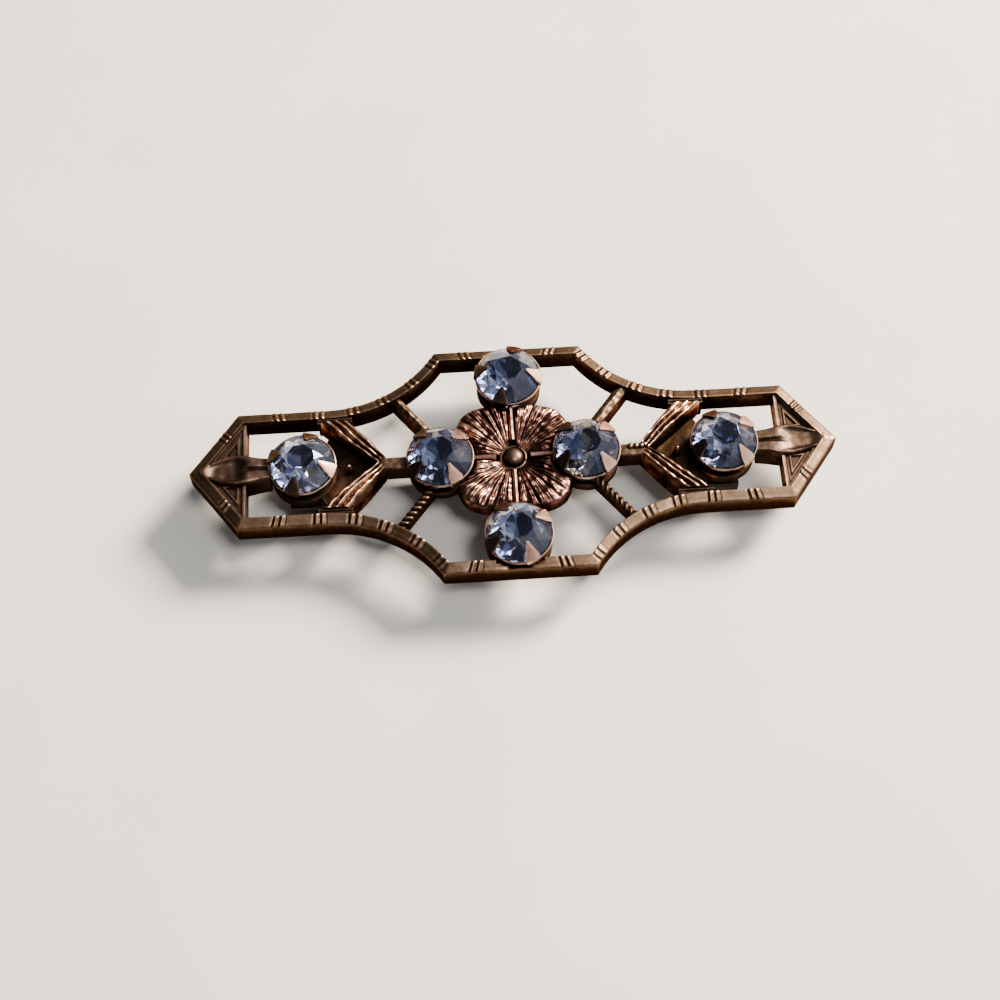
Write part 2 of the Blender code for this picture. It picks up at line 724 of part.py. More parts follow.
def cut_stone(name, centre, turn):
    """A brilliant with a table, stars, kites and halves over a girdle, and a pointed pavilion."""
    half_step = math.pi / 8
    star_level = GIRDLE_HIGH + (STONE_RADIUS - STAR_RADIUS * math.cos(half_step)) * math.tan(CROWN_SLOPE)
    lower_level = CULET_LEVEL + LOWER_RADIUS * math.cos(half_step) * math.tan(PAVILION_SLOPE)
    points = ring_points(TABLE_RADIUS, TABLE_LEVEL, 8)
    points += ring_points(STAR_RADIUS, star_level, 8, half_step)
    points += ring_points(STONE_RADIUS, GIRDLE_HIGH, 16)
    points += ring_points(STONE_RADIUS, GIRDLE_LOW, 16)
    points += ring_points(LOWER_RADIUS, lower_level, 8, half_step)
    points.append((0.0, 0.0, CULET_LEVEL))
    shape = bmesh.new()
    for point in points:
        shape.verts.new(point)
    bmesh.ops.convex_hull(shape, input=shape.verts[:])
    spin = Matrix.Rotation(math.radians(turn), 3, "Z")
    bmesh.ops.rotate(shape, cent=(0, 0, 0), matrix=spin, verts=shape.verts)
    bmesh.ops.translate(shape, vec=(*centre, 0.0), verts=shape.verts)
    return as_object(f"stone_{name}", shape, stone_glass())


def clear_angle(radius, distance, room):
    """The angle from the way to a setting at which a circle about the centre clears that setting."""
    if radius + room <= distance or radius - room >= distance:
        return 0.0
    cosine = (radius**2 + distance**2 - room**2) / (2 * radius * distance)
    return math.acos(max(-1.0, min(1.0, cosine)))


def petal(side, up):
    """A ribbed petal on one diagonal, kept clear of the bars and settings beside it."""
    root = (HUB_RADIUS + SHANK_RADIUS) / 2
    bar_room = CROSS_BAR_WIDTH / 2 + CUP_GAP
    claw_room = CLAW_OUTER + CUP_GAP

    def surface(u, v):
        rise, rib_share = section(PETAL_SECTIONS, u)
        radius = root + (PETAL_RADIUS - root) * u
        bar = math.asin(min(1.0, bar_room / radius))
        start = max(bar, clear_angle(radius, INNER_STONE_X, claw_room))
        end = math.pi / 2 - max(bar, clear_angle(radius, SIDE_STONE_Y, claw_room))
        angle = start + (end - start) * v if start < end else (start + end) / 2
        rib = ribbed(v, PETAL_RIBS)
        reach = radius + PETAL_RIB_REACH * rib * u
        height = PETAL_BACK + PETAL_THICKNESS + PETAL_RISE * rise + PETAL_RIB_HEIGHT * rib_share * rib
        return side * reach * math.cos(angle), up * reach * math.sin(angle), height

    return as_object("petal", carved(PETAL_STEPS, 2 * PETAL_RIBS, surface, PETAL_BACK))


def flower_hub():
    """The shank, the ringed hub and the bead of the flower, turned in one."""
    high = PETAL_BACK + HUB_HEIGHT
    profile = [(0.0, FRAME_BACK), (SHANK_RADIUS, FRAME_BACK), (SHANK_RADIUS, PETAL_BACK)]
    profile += [(HUB_RADIUS - HUB_ROUNDING, PETAL_BACK), (HUB_RADIUS, high - HUB_ROUNDING)]
    profile += [(HUB_RADIUS - HUB_ROUNDING, high), (BEAD_RADIUS, high - HUB_ROUNDING)]
    for step in range(1, BEAD_STEPS):
        angle = math.pi / 2 * step / BEAD_STEPS
        profile.append((BEAD_RADIUS * math.cos(angle), high + BEAD_HEIGHT * math.sin(angle)))
    profile.append((0.0, high + BEAD_HEIGHT))
    return as_object("centre_flower", turned(profile, CUP_SIDES), flower_brass())


def centre_flower():
    """Four petals and their hub as one solid."""
    petals = [petal(side, up) for side in (-1, 1) for up in (-1, 1)]
    return combined(flower_hub(), petals, "UNION")


def pin_stem(level):
    """The pin from the hinge block into the catch, narrower at its tip."""
    shape = bmesh.new()
    length = 2 * END_STONE_X + FOOT_LENGTH / 4
    place = Matrix.Translation((0.0, PIN_OFFSET, level)) @ Matrix.Rotation(math.pi / 2, 4, "Y")
    bmesh.ops.create_cone(
        shape,
        cap_ends=True,
        segments=STEM_SIDES,
        radius1=STEM_RADIUS,
        radius2=STEM_TIP_RADIUS,
        depth=length,
        matrix=place,
    )
    return as_object("stem", shape)


def catch_slot(level):
    """Cutter for the slot that the stem lies in, open towards the upper side of the brooch."""
    half = STEM_RADIUS + CLEARANCE
    low_side = PIN_OFFSET - half
    high_side = FOOT_HALF_WIDTH + CUT_MARGIN
    size = (FOOT_LENGTH + 2 * CUT_MARGIN, high_side - low_side, 2 * half)
    return as_object("slot", block((END_STONE_X, (low_side + high_side) / 2, level), size))


def pin_back():
    """Strip, hinge block, stem and catch as one plain piece."""
    strip_size = (2 * END_STONE_X + FOOT_LENGTH, STRIP_WIDTH, STRIP_THICKNESS)
    strip_centre = (0.0, PIN_OFFSET, BACK_HEIGHT - STRIP_THICKNESS / 2)
    strip = as_object("pin_back", block(strip_centre, strip_size), pin_steel())
    foot_top = BACK_HEIGHT - STRIP_THICKNESS + CUT_MARGIN
    foot_size = (FOOT_LENGTH, 2 * FOOT_HALF_WIDTH, foot_top)
    hinge = as_object("hinge", block((-END_STONE_X, 0.0, foot_top / 2), foot_size))
    catch = as_object("catch", block((END_STONE_X, 0.0, foot_top / 2), foot_size))
    stem_level = CATCH_LIP + CLEARANCE + STEM_RADIUS
    catch = combined(catch, [catch_slot(stem_level)], "DIFFERENCE")
    return combined(strip, [hinge, catch, pin_stem(stem_level)], "UNION")


def build():
    """Make every piece of the brooch."""
    clear_scene()
    smooth(filigree_frame())
    smooth(centre_flower())
    for name, centre, turn in SETTINGS:
        smooth(claw_setting(name, centre, turn))
        cut_stone(name, centre, turn)
    pin_back()


build()
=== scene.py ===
"""Looks of the openwork bar brooch: aged rose brass, claw settings, foiled paste stones. Metres, +Z up."""

import math

import bmesh
import bpy
from mathutils import Matrix, Vector, noise


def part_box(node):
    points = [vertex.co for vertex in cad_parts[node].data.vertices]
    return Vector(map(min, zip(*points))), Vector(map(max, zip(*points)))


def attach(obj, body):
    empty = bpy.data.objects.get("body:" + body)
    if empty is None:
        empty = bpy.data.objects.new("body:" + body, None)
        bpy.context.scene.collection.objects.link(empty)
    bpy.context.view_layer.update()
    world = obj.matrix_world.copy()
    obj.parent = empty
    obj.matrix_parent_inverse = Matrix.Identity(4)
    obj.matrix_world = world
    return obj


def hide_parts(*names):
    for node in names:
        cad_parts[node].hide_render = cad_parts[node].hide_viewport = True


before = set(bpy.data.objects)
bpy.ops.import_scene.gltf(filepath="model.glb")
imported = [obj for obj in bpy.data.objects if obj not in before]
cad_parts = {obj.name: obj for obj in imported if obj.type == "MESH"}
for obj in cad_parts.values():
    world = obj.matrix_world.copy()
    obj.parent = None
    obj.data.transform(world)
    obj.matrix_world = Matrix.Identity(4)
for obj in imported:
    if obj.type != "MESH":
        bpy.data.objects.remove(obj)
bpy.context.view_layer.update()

# Camera, set by the photograph: the point that it looks at, its angles, distance and lens
CAMERA_AIM = Vector((-0.001165, -0.001304, 0.0))
CAMERA_ELEVATION = math.radians(62.0)
CAMERA_AZIMUTH = math.radians(1.83)
CAMERA_ROLL = math.radians(-1.69)
CAMERA_DISTANCE = 0.1334
LENS_MM = 61.2
SENSOR_MM = 36.0
CAMERA_CLIP = 0.005

# Room round the brooch; each light has its place, size, power and colour
FLOOR_SIZE = 1.6
WINDOW = ((0.30, 0.20, 0.26), 0.14, 11.0, "#fff2e2")
OVERHEAD = ((0.16, -0.14, 0.50), 0.14, 1.6, "#ffffff")
WALL_PATCH_SCALE = 2.6
WALL_SLOPE = (0.24, 0.06, 0.02)
BACKDROP = "#dcd8d1"

# Finishes: real sizes of their patterns, how much each darkens or brightens, painted shade in crevices, low
# down and on the sides, and tints of reflections
BLOTCH_SIZE = 0.0015385
SPECK_SIZE = 0.0003125
PIT_SIZE = 0.00011111
PIT_SHARE = 0.5
PIT_DEPTH = 0.00004
BLOTCH_MIDDLE = 0.44
SPECK_GAIN = 0.45
CREVICE_SHADE_REACH = 0.0011
CREVICE_SHADE_GAIN = 0.45
CREVICE_SHADE_DARK = 0.32
LOW_SHADE = 0.42
RELIEF_STRENGTH = 0.3
SCUFF_SIZE = 0.00038462
STREAK_LENGTH = 0.0066667
STREAK_WIDTH = 0.00019231
STREAK_DEPTH = 0.00002
MOTTLE_SIZE = 0.016667
GRAZING_TINT = "#9c897d"
GLASS_REFLECTION = "#a9b4e0"

# Noises of the tarnish: size, detail and roughness of the blotches, the specks and the pits
TARNISH_NOISES = ((BLOTCH_SIZE, 5.0, 0.62), (SPECK_SIZE, 4.0, 0.7), (PIT_SIZE, 3.0, 0.6))

# Outline of the frame, seen from the front
FRAME_LOW, FRAME_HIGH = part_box("filigree_frame")
HALF_LENGTH = FRAME_HIGH.x
END_CORNER_X = HALF_LENGTH - 0.0037
FLANK_HALF_WIDTH = 0.0050
WAIST_X = 0.0090
FLANK_RADIUS = 0.0100
BULGE_HALF_LENGTH = 0.00575
BULGE_HALF_WIDTH = FRAME_HIGH.y

# Levels
BACK = FRAME_LOW.z
RAIL_TOP = BACK + 0.0020
LOW_SHADE_TOP = RAIL_TOP - 0.0002
STONE_LOW, STONE_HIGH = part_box("stone_top")
STONE_RADIUS = (STONE_HIGH.y - STONE_LOW.y) / 2
GIRDLE_LOW = STONE_LOW.z + 0.0016
GIRDLE_HIGH = GIRDLE_LOW + 0.0002
TABLE_LEVEL = STONE_HIGH.z

# Rail
RAIL_WIDTH = 0.00088
RAIL_DROP = 0.00028
RAIL_STEP = 0.00030
RAIL_WAVE = 0.000035
RAIL_WAVE_SIZE = 0.0021
RAIL_DENT = 0.00002
RAIL_DENT_SIZE = 0.0009
TICK_SPACING = 0.00050
TICK_HALF_WIDTH = 0.00016
TICK_HEIGHT = 0.00008
TICK_GROOVE = 0.00020
TICK_GROOVE_DEPTH = 0.00003
TICK_STEP = 0.00004
TICK_REACH = 0.00064

# Stones
STONE_FOLD = 8
TABLE_RADIUS = 0.00108
CROWN_SLOPE = (TABLE_LEVEL - GIRDLE_HIGH) / (STONE_RADIUS - TABLE_RADIUS)
STAR_RADIUS = 0.00175
LOWER_RADIUS = 0.0012
FACET_BEVEL = 0.000012
FACET_CREASE = math.radians(2)
FLAT_ANGLE = math.radians(1)
FACET_GLINT_SCALE = 7000.0
TABLE_PAINTED_REFLECTION = 0.02

# Settings
CUP_BASE_RADIUS = 0.0012
CUP_WALL = 0.00010
CUP_FLARE = GIRDLE_LOW - 0.00055
CUP_ROOM = 0.00010
RUBBED_RIM = 0.00020
RIM_GAP = 0.00003
# Claws that point right of this limit are painted lit, the rest painted shaded and a little shorter
LIT_CLAW_SIDE = 0.3
CLAW_REACH = 0.00112
SHADED_CLAW_REACH = 0.00092
CLAW_THICKNESS = 0.00017
CLAW_SECTION = (
    (-1.0, 0.0), (-1.06, 0.45), (-0.92, 0.92), (-0.4, 1.06),
    (0.4, 1.06), (0.92, 0.92), (1.06, 0.45), (1.0, 0.0),
)
SEAT_RADIUS = 0.0025
SEAT_THICKNESS = 0.0008
SEAT_BORE = CUP_BASE_RADIUS + 0.0003
SEAT_FLARE = CUP_BASE_RADIUS + 0.0009
SEAT_EDGE = 0.00012

# Panels and buds of the pointed ends
INNER_FLANK = FLANK_HALF_WIDTH - RAIL_WIDTH
END_STONE_X = HALF_LENGTH - 0.0087
BUD_TIP_X = HALF_LENGTH - 0.0009
BUD_HALF_WIDTH = 0.0014
BUD_EDGE_RECESS = 0.00035
BUD_EDGE = 0.00026
BUD_RIDGE = 0.00050
BUD_LUMP = 0.00006
BUD_LUMP_SIZE = 0.0008
WING_X = END_CORNER_X - 0.00065
WING_LOW = BUD_HALF_WIDTH / 2
WING_RECESS = 0.00026
WING_TUCK = 0.9
WING_STEPS = (
    (0.00022, 0.0), (0.00008, -0.00012), (0.00018, 0.0),
    (0.00008, 0.00010), (0.00010, 0.0), (0.00008, -0.00014),
)

# The buds' form, as shares of their length, width and height
BUD_NECK = 0.16
BUD_START = 0.10
BUD_GROWTH = 1.1
BUD_TURN = 0.62
BUD_WIDEST = 0.50
BUD_DRAW_IN = 0.34
BUD_EDGE_DEPTH = 1.6
BUD_RIDGE_START = 0.55
BUD_ROUNDING = 0.25
HOLLOW_RAMP = 0.22
HOLLOW_END = 0.70
HOLLOW_HALF_WIDTH = 0.78
HOLLOW_DEPTH = 0.85
FOLD_START = 0.5
FOLD_RAMP = 0.2
FOLD_HALF_WIDTH = 0.14
FOLD_DEPTH = 0.6

# Leaves, collars and floors of the chevrons
LEAF_APEX_X = END_STONE_X - 0.0060
LEAF_APEX_HALF_WIDTH = 0.00024
LEAF_ROOT_X = END_STONE_X - 0.0025
LEAF_ROOT_HALF_WIDTH = 0.00112
LEAF_TIP_HALF_WIDTH = 0.00045
LEAF_SWELL = 0.12
LEAF_WANDER = 0.05
LEAF_LUMP = 0.00013
LEAF_LUMP_SIZE = 0.00055
LEAF_EDGE = 0.00016
LEAF_RECESS = 0.00018
LEAF_CREST = 0.00030
LEAF_CREST_START = 0.12
LEAF_CREST_POWER = 0.6
LEAF_RIBS = 3
LEAF_RIB_HEIGHT = 0.00024
RIB_POWER = 1.7
COLLAR_WIDTH = 0.00035
COLLAR_TUCK = 0.6
COLLAR_RIDGE_SHARE = 0.6
COLLAR_STEP = 0.375
COLLAR_OVERHANG = 0.0002
COLLAR_RECESS = 0.00018
COLLAR_CREST = 0.00007
FLOOR_THICKNESS = 0.0006
FLOOR_LUMP = 0.00008
FLOOR_LUMP_SIZE = 0.0006
LEAF_BEAD_X = END_STONE_X - 0.0035
LEAF_BEAD_RADIUS = 0.00029
LEAF_BEAD_HEIGHT = 0.00110

# Bars and struts
INNER_STONE_X = 0.0056
LINK_WIDTH = 0.0010
LINK_RECESS = 0.00030
LINK_CREST = 0.00004
BUMPS = 3
BUMP_X = INNER_STONE_X + 0.0034
BUMP_Y = LINK_WIDTH / 4
BUMP_RADIUS = 0.00027
BUMP_SPACING = 0.00042
OVERLAP = 0.0003
BAR_EDGE = 0.08
BAR_LUMP_SIZE = 0.0004
FINE_LUMP = 0.00003
STRUT_SEAT_ANGLE = math.radians(76)
STRUT_ANGLE = math.radians(52)
STRUT_TUCK = 0.7
STRUT_RECESS = 0.00040
STRUT_WIDTHS = {-1: 0.00070, 1: 0.00092}
STRUT_CREST = 0.00016
STRUT_LUMP = 0.00009
ROPE_RECESS = 0.00050
ROPE_CORE_WIDTH = 0.00032
ROPE_CORE_DROP = 0.00010
STRAND_RADIUS = 0.00019
STRAND_TURN_RADIUS = 0.00016
ROPE_LAY_LENGTH = 0.00105
CROSS_BAR_WIDTH = 0.00036
CROSS_BAR_RECESS = 0.00012
CROSS_BAR_CREST = 0.00014
WEB_WIDTH = 0.0013
WEB_THICKNESS = 0.00038
WEB_LUMP = 0.00002
BOSS_RADIUS = 0.00163
BOSS_HEIGHT = 0.00035
BOSS_EDGE = 0.00008

# Flower
PETAL_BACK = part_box("centre_flower")[0].z + 0.0006
PETAL_RADIUS = 0.0053
PETAL_THICKNESS = 0.00050
PETAL_RISE = 0.00075
PETAL_ROUNDING = 0.13
PETAL_CORNER_POWER = 1.5
PETAL_RIBS = 9
PETAL_RIB_HEIGHT = 0.00020
FINE_RIBS = 22
FINE_RIB_SHARE = 0.35
PETAL_RIM = 0.0007
PETAL_EDGE = 0.00028
PETAL_SIDE_ROLL = 0.8
PETAL_RIM_RIBS = 0.2
PETAL_LUMP = 0.00016
PETAL_LUMP_SIZE = 0.0009
HAMMER_SIZE = 0.0005
HAMMER_SHARE = 0.8
HAMMER_SHIFT = Vector((0.0, 0.0, 0.01))
DOME_TURN = 0.62 * math.pi
DOME_POWER = 0.8
RIB_START = 0.0022
BAR_ROOM = 0.00004
CLAW_ROOM = 0.00006
# How bright each petal's rubbed ribs are painted: painted light and shade by the side that faces the lamp
PETAL_PAINTED_LIGHT = {(False, False): 1.35, (False, True): 0.9, (True, True): 0.5, (True, False): 0.25}
HUB_RADIUS = 0.00108
HUB_HEIGHT = 0.00090
BEAD_RADIUS = 0.00080
BEAD_HEIGHT = 0.00052
SHANK_RADIUS = 0.00040
ROOM = 0.00025

# The brooch's two halves and four quarters, and the way out of its face
UP = Vector((0.0, 0.0, 1.0))
SIDES = (-1, 1)
QUARTERS = [(side, up) for side in SIDES for up in SIDES]

# Fineness of the meshes, and limits under which lengths and angles don't count
ROUND_SIDES = 48
ARC_STEPS = 18
BAR_STEP = 0.00012
BAR_ROWS = 12
LEAF_STEPS = 36
ROPE_STEPS = 12
STRAND_SIDES = 10
PETAL_GRID = (44, 132)
BEAD_STEPS = 12
CREASE_ANGLE = math.radians(38)
MERGE_DISTANCE = 2e-7
PARALLEL = 1e-12

# Share of a point's wear that comes from its own edges; the rest comes from its neighbours
WEAR_OWN_SHARE = 0.7

# One row for each setting: name, turn of its stone and turns of its claws in degrees, bent a little unevenly
SETTINGS = (
    ("left_end", -16, (-19, 75, 162, 253)),
    ("left_inner", 30, (44, 126, 212, 298)),
    ("top", -13, (-8, 76, 169, 252)),
    ("bottom", 28, (28, 119, 207, 291)),
    ("right_inner", 40, (43, 130, 214, 313)),
    ("right_end", 30, (35, 110, 205, 311)),
)

# Places of the paired ridges, as shares of the way from a tip to the middle of the bulge
TICK_SHARES = (0.14, 0.32, 0.43, 0.52, 0.60, 0.69, 0.77, 0.88)


def middle_of(node):
    """The middle of a solid in plan."""
    low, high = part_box(node)
    return ((low + high) / 2).xy


CENTRES = {name: middle_of(f"stone_{name}") for name, _, _ in SETTINGS}


def linear(code):
    """An sRGB hex colour as linear light."""
    shares = [int(code[place:place + 2], 16) / 255 for place in (1, 3, 5)]
    lights = [share / 12.92 if share <= 0.04045 else ((share + 0.055) / 1.055) ** 2.4 for share in shares]
    return lights + [1.0]


def wire(tree, node, values=None, links=None):
    """Set a node's socket values and its incoming links."""
    for socket, value in (values or {}).items():
        node.inputs[socket].default_value = value
    for socket, source in (links or {}).items():
        tree.links.new(source, node.inputs[socket])


def add_node(tree, kind, values=None, links=None, stops=None, out=0, **settings):
    """Add a shader node with its settings, sockets and, on a ramp, its colour stops; gives one output."""
    made = tree.nodes.new("ShaderNode" + kind)
    for name, value in settings.items():
        setattr(made, name, value)
    wire(tree, made, values, links)
    if stops:
        ramp = made.color_ramp
        while len(ramp.elements) < len(stops):
            ramp.elements.new(0.5)
        for element, (place, colour) in zip(ramp.elements, stops):
            element.position = place
            element.color = linear(colour)
    return made.outputs[out]


def new_material(name):
    """An empty material with its output and a Principled shader."""
    material = bpy.data.materials.new(name)
    material.use_nodes = True
    return material, material.node_tree, material.node_tree.nodes["Principled BSDF"]


def aged_brass(name, stops, wear_gain, patch_gain, side_shade_depth, rough_bright, rough_dark):
    """Cast rose brass: random tarnish blotches, painted shade in the hollows, on the sides and low down,
    rubbed rosy on every edge, with fine casting pits.
    """
    material, tree, shader = new_material(name)
    place = add_node(tree, "TexCoord", out="Object")
    wear = add_node(tree, "Attribute", out="Fac", attribute_name="wear")
    blotches, specks, pits = [
        add_node(
            tree, "TexNoise", {"Scale": 1 / size, "Detail": detail, "Roughness": roughness},
            {"Vector": place},
        )
        for size, detail, roughness in TARNISH_NOISES
    ]
    # Painted shade: ambient occlusion darkens hollows and gaps between parts, and hides the wear there
    crevice_shade = add_node(tree, "AmbientOcclusion", {"Distance": CREVICE_SHADE_REACH}, out="AO", samples=4)
    level = add_node(tree, "SeparateXYZ", links={0: place}, out="Z")
    facing = add_node(tree, "NewGeometry", out="Normal")
    upward = add_node(tree, "SeparateXYZ", links={0: facing}, out="Z")
    worn = add_node(tree, "Math", {1: wear_gain}, {0: wear}, operation="MULTIPLY")
    patchy = add_node(
        tree, "Math", {1: patch_gain, 2: -BLOTCH_MIDDLE * patch_gain}, {0: blotches},
        operation="MULTIPLY_ADD",
    )
    speckled = add_node(tree, "Math", {1: SPECK_GAIN}, {0: specks, 2: patchy}, operation="MULTIPLY_ADD")
    shaded = add_node(
        tree, "Math", {1: CREVICE_SHADE_GAIN, 2: -CREVICE_SHADE_DARK}, {0: crevice_shade}, operation="MULTIPLY_ADD"
    )
    # Painted shade: darker towards the back, from just under the rail's top down to the back plane
    low_shade = add_node(
        tree, "MapRange",
        {"From Min": BACK, "From Max": LOW_SHADE_TOP, "To Min": -LOW_SHADE, "To Max": 0.0}, {"Value": level},
    )
    # Painted shade: faces that turn away from straight up are darker, as though lit from above
    side_shade = add_node(
        tree, "MapRange",
        {"From Min": 0.0, "From Max": 0.9, "To Min": -side_shade_depth, "To Max": 0.0}, {"Value": upward},
    )
    bright = add_node(tree, "Math", links={0: worn, 1: crevice_shade}, operation="MULTIPLY")
    for share in (speckled, shaded, low_shade, side_shade):
        bright = add_node(tree, "Math", links={0: bright, 1: share}, operation="ADD")
    colour = add_node(tree, "ValToRGB", links={0: bright}, stops=stops)
    rough = add_node(tree, "MapRange", {"To Min": rough_dark, "To Max": rough_bright}, {"Value": bright})
    grain = add_node(tree, "Math", {1: PIT_SHARE}, {0: pits, 2: specks}, operation="MULTIPLY_ADD")
    relief = add_node(tree, "Bump", {"Strength": RELIEF_STRENGTH, "Distance": PIT_DEPTH}, {"Height": grain})
    wire(
        tree, shader, {"Metallic": 1.0, "Specular Tint": linear(GRAZING_TINT)},
        {"Base Color": colour, "Roughness": rough, "Normal": relief},
    )
    return material


# Tarnished mauve brown on the flats, rosy at the edges; the walls are painted nearly black as shade
FRAME_BRASS = aged_brass(
    "tarnished_rose_brass",
    ((0.0, "#2b1d12"), (0.22, "#443427"), (0.48, "#6a5442"), (0.75, "#9a7a60"), (1.0, "#e4bf9c")),
    wear_gain=1.1, patch_gain=0.9, side_shade_depth=0.30, rough_bright=0.30, rough_dark=0.50,
)

# The end buds and panels, and the flower's bead, get a darker, hardly rubbed copy of the brass as painted
# shade
SHADED_SUNKEN_BRASS = aged_brass(
    "shaded_sunken_brass",
    ((0.0, "#21160f"), (0.22, "#36291f"), (0.48, "#57453a"), (0.75, "#8c6f5a"), (1.0, "#e4bd9c")),
    wear_gain=1.1, patch_gain=1.2, side_shade_depth=0.30, rough_bright=0.32, rough_dark=0.52,
)

# The same casting where the ribs are rubbed: coppery, with gold lights
LEAF_BRASS = aged_brass(
    "rubbed_leaf_brass",
    ((0.0, "#23140d"), (0.22, "#5a3c2c"), (0.45, "#9a7058"), (0.7, "#deae88"), (1.0, "#ffe2b8")),
    wear_gain=1.6, patch_gain=2.0, side_shade_depth=0.40, rough_bright=0.2, rough_dark=0.42,
)

# Warmer than the frame, with the ribs rubbed to a bright rose gold
FLOWER_BRASS = aged_brass(
    "ribbed_rose_gold",
    ((0.0, "#1f120d"), (0.3, "#4e342c"), (0.58, "#825c50"), (0.8, "#cf9d80"), (1.0, "#ffddb4")),
    wear_gain=1.5, patch_gain=2.3, side_shade_depth=0.45, rough_bright=0.25, rough_dark=0.46,
)

# The claws stand proud, so they are rubbed clean to pink copper; among the claws only those on the right side
# get it, as painted light
CLAW_BRASS = aged_brass(
    "rubbed_lit_pink_copper",
    ((0.0, "#2a1710"), (0.22, "#8a5f4e"), (0.45, "#dca890"), (0.7, "#f8ccb4"), (1.0, "#ffe6d6")),
    wear_gain=1.2, patch_gain=0.7, side_shade_depth=0.0, rough_bright=0.2, rough_dark=0.38,
)

# Cups that nothing rubs, and the claws on the left as painted shade: dark brown with a low gleam
DULL_SHADED_BRASS = aged_brass(
    "dull_shaded_claw_brass",
    ((0.0, "#1b130e"), (0.25, "#41332a"), (0.55, "#705c50"), (0.8, "#a08672"), (1.0, "#dcc0a8")),
    wear_gain=0.9, patch_gain=0.7, side_shade_depth=0.2, rough_bright=0.24, rough_dark=0.45,
)


def facet_painted_glints(tree, stops):
    """A painted reflection for each cut facet, from the glint value that it carries."""
    facet_glint = add_node(tree, "Attribute", out="Fac", attribute_name="facet_glint")
    return add_node(tree, "ValToRGB", links={0: facet_glint}, stops=stops)


def paste_glass():
    """Lead glass with a cool slate tint: it bends the light hard and shows the foil behind; each facet's
    colour is a painted reflection.
    """
    material, tree, shader = new_material("slate_paste_glass")
    place = add_node(tree, "TexCoord", out="Object")
    scuffs = add_node(tree, "TexNoise", {"Scale": 1 / SCUFF_SIZE, "Detail": 3.0}, {"Vector": place})
    rough = add_node(
        tree, "MapRange", {"From Min": 0.45, "From Max": 0.75, "To Min": 0.01, "To Max": 0.06},
        {"Value": scuffs},
    )
    stops = ((0.0, "#474e60"), (0.12, "#787f9c"), (0.45, "#adb4d2"), (0.75, "#dde1f2"), (1.0, "#ffffff"))
    wire(
        tree, shader,
        {
            "Transmission Weight": 0.97, "IOR": 1.62, "Specular IOR Level": 0.3,
            "Specular Tint": linear(GLASS_REFLECTION),
        },
        {"Base Color": facet_painted_glints(tree, stops), "Roughness": rough},
    )
    return material


def foil():
    """Silvered foil behind the paste: each facet painted its own grey lavender to white as painted
    reflections and flashes, with some brown ageing.
    """
    material, tree, shader = new_material("aged_silver_foil")
    stops = ((0.0, "#646e8a"), (0.3, "#a4acc4"), (0.6, "#e4e7f2"), (0.9, "#ffffff"), (1.0, "#b09a7c"))
    wire(tree, shader, {"Metallic": 1.0, "Roughness": 0.09}, {"Base Color": facet_painted_glints(tree, stops)})
    return material


def pin_metal():
    """Dull drawn metal, greyer than the front and painted dark as shade under the brooch, with faint marks
    along its length.
    """
    material, tree, shader = new_material("dull_pin_metal")
    place = add_node(tree, "TexCoord", out="Object")
    along = add_node(
        tree, "Mapping", {"Scale": (1 / STREAK_LENGTH, 1 / STREAK_WIDTH, 1 / STREAK_WIDTH)},
        {"Vector": place},
    )
    streaks = add_node(tree, "TexNoise", {"Scale": 1.0, "Detail": 4.0}, {"Vector": along})
    stops = ((0.3, "#1a1511"), (0.5, "#40372f"), (0.72, "#62574c"))
    colour = add_node(tree, "ValToRGB", links={0: streaks}, stops=stops)
    rough = add_node(tree, "MapRange", {"To Min": 0.3, "To Max": 0.55}, {"Value": streaks})
    relief = add_node(
        tree, "Bump", {"Strength": RELIEF_STRENGTH, "Distance": STREAK_DEPTH}, {"Height": streaks}
    )
    wire(tree, shader, {"Metallic": 1.0}, {"Base Color": colour, "Roughness": rough, "Normal": relief})
    return material


def floor_paint():
    """Plain pale matt paint with the faintest mottling."""
    material, tree, shader = new_material("pale_matt_floor")
    place = add_node(tree, "TexCoord", out="Object")
    mottle = add_node(tree, "TexNoise", {"Scale": 1 / MOTTLE_SIZE, "Detail": 4.0}, {"Vector": place})
    stops = ((0.3, "#d9d4cb"), (0.7, "#e1dcd3"))
    colour = add_node(tree, "ValToRGB", links={0: mottle}, stops=stops)
    wire(tree, shader, {"Roughness": 0.85}, {"Base Color": colour})
    return material


PASTE = paste_glass()
FOIL = foil()
SHADED_PIN_METAL = pin_metal()


def mark_wear(shape, rubbed):
    """Give each point its share of wear: high on edges that stand out, none in hollows, scaled by
    rubbed(point), which on the petals paints light and shade.
    """
    shape.normal_update()
    layer = shape.verts.layers.float.new("wear")
    raw = {}
    for vert in shape.verts:
        total = 0.0
        for edge in vert.link_edges:
            away = vert.co - edge.other_vert(vert).co
            total += away.dot(vert.normal) / max(away.length, MERGE_DISTANCE)
        raw[vert] = total / max(len(vert.link_edges), 1)
    for vert in shape.verts:
        near = [raw[edge.other_vert(vert)] for edge in vert.link_edges]
        around = sum(near) / max(len(near), 1)
        share = WEAR_OWN_SHARE * raw[vert] + (1 - WEAR_OWN_SHARE) * around
        vert[layer] = rubbed(vert.co) * max(0.0, share)


def evenly(point):
    """A piece that is rubbed alike all over."""
    return 1.0


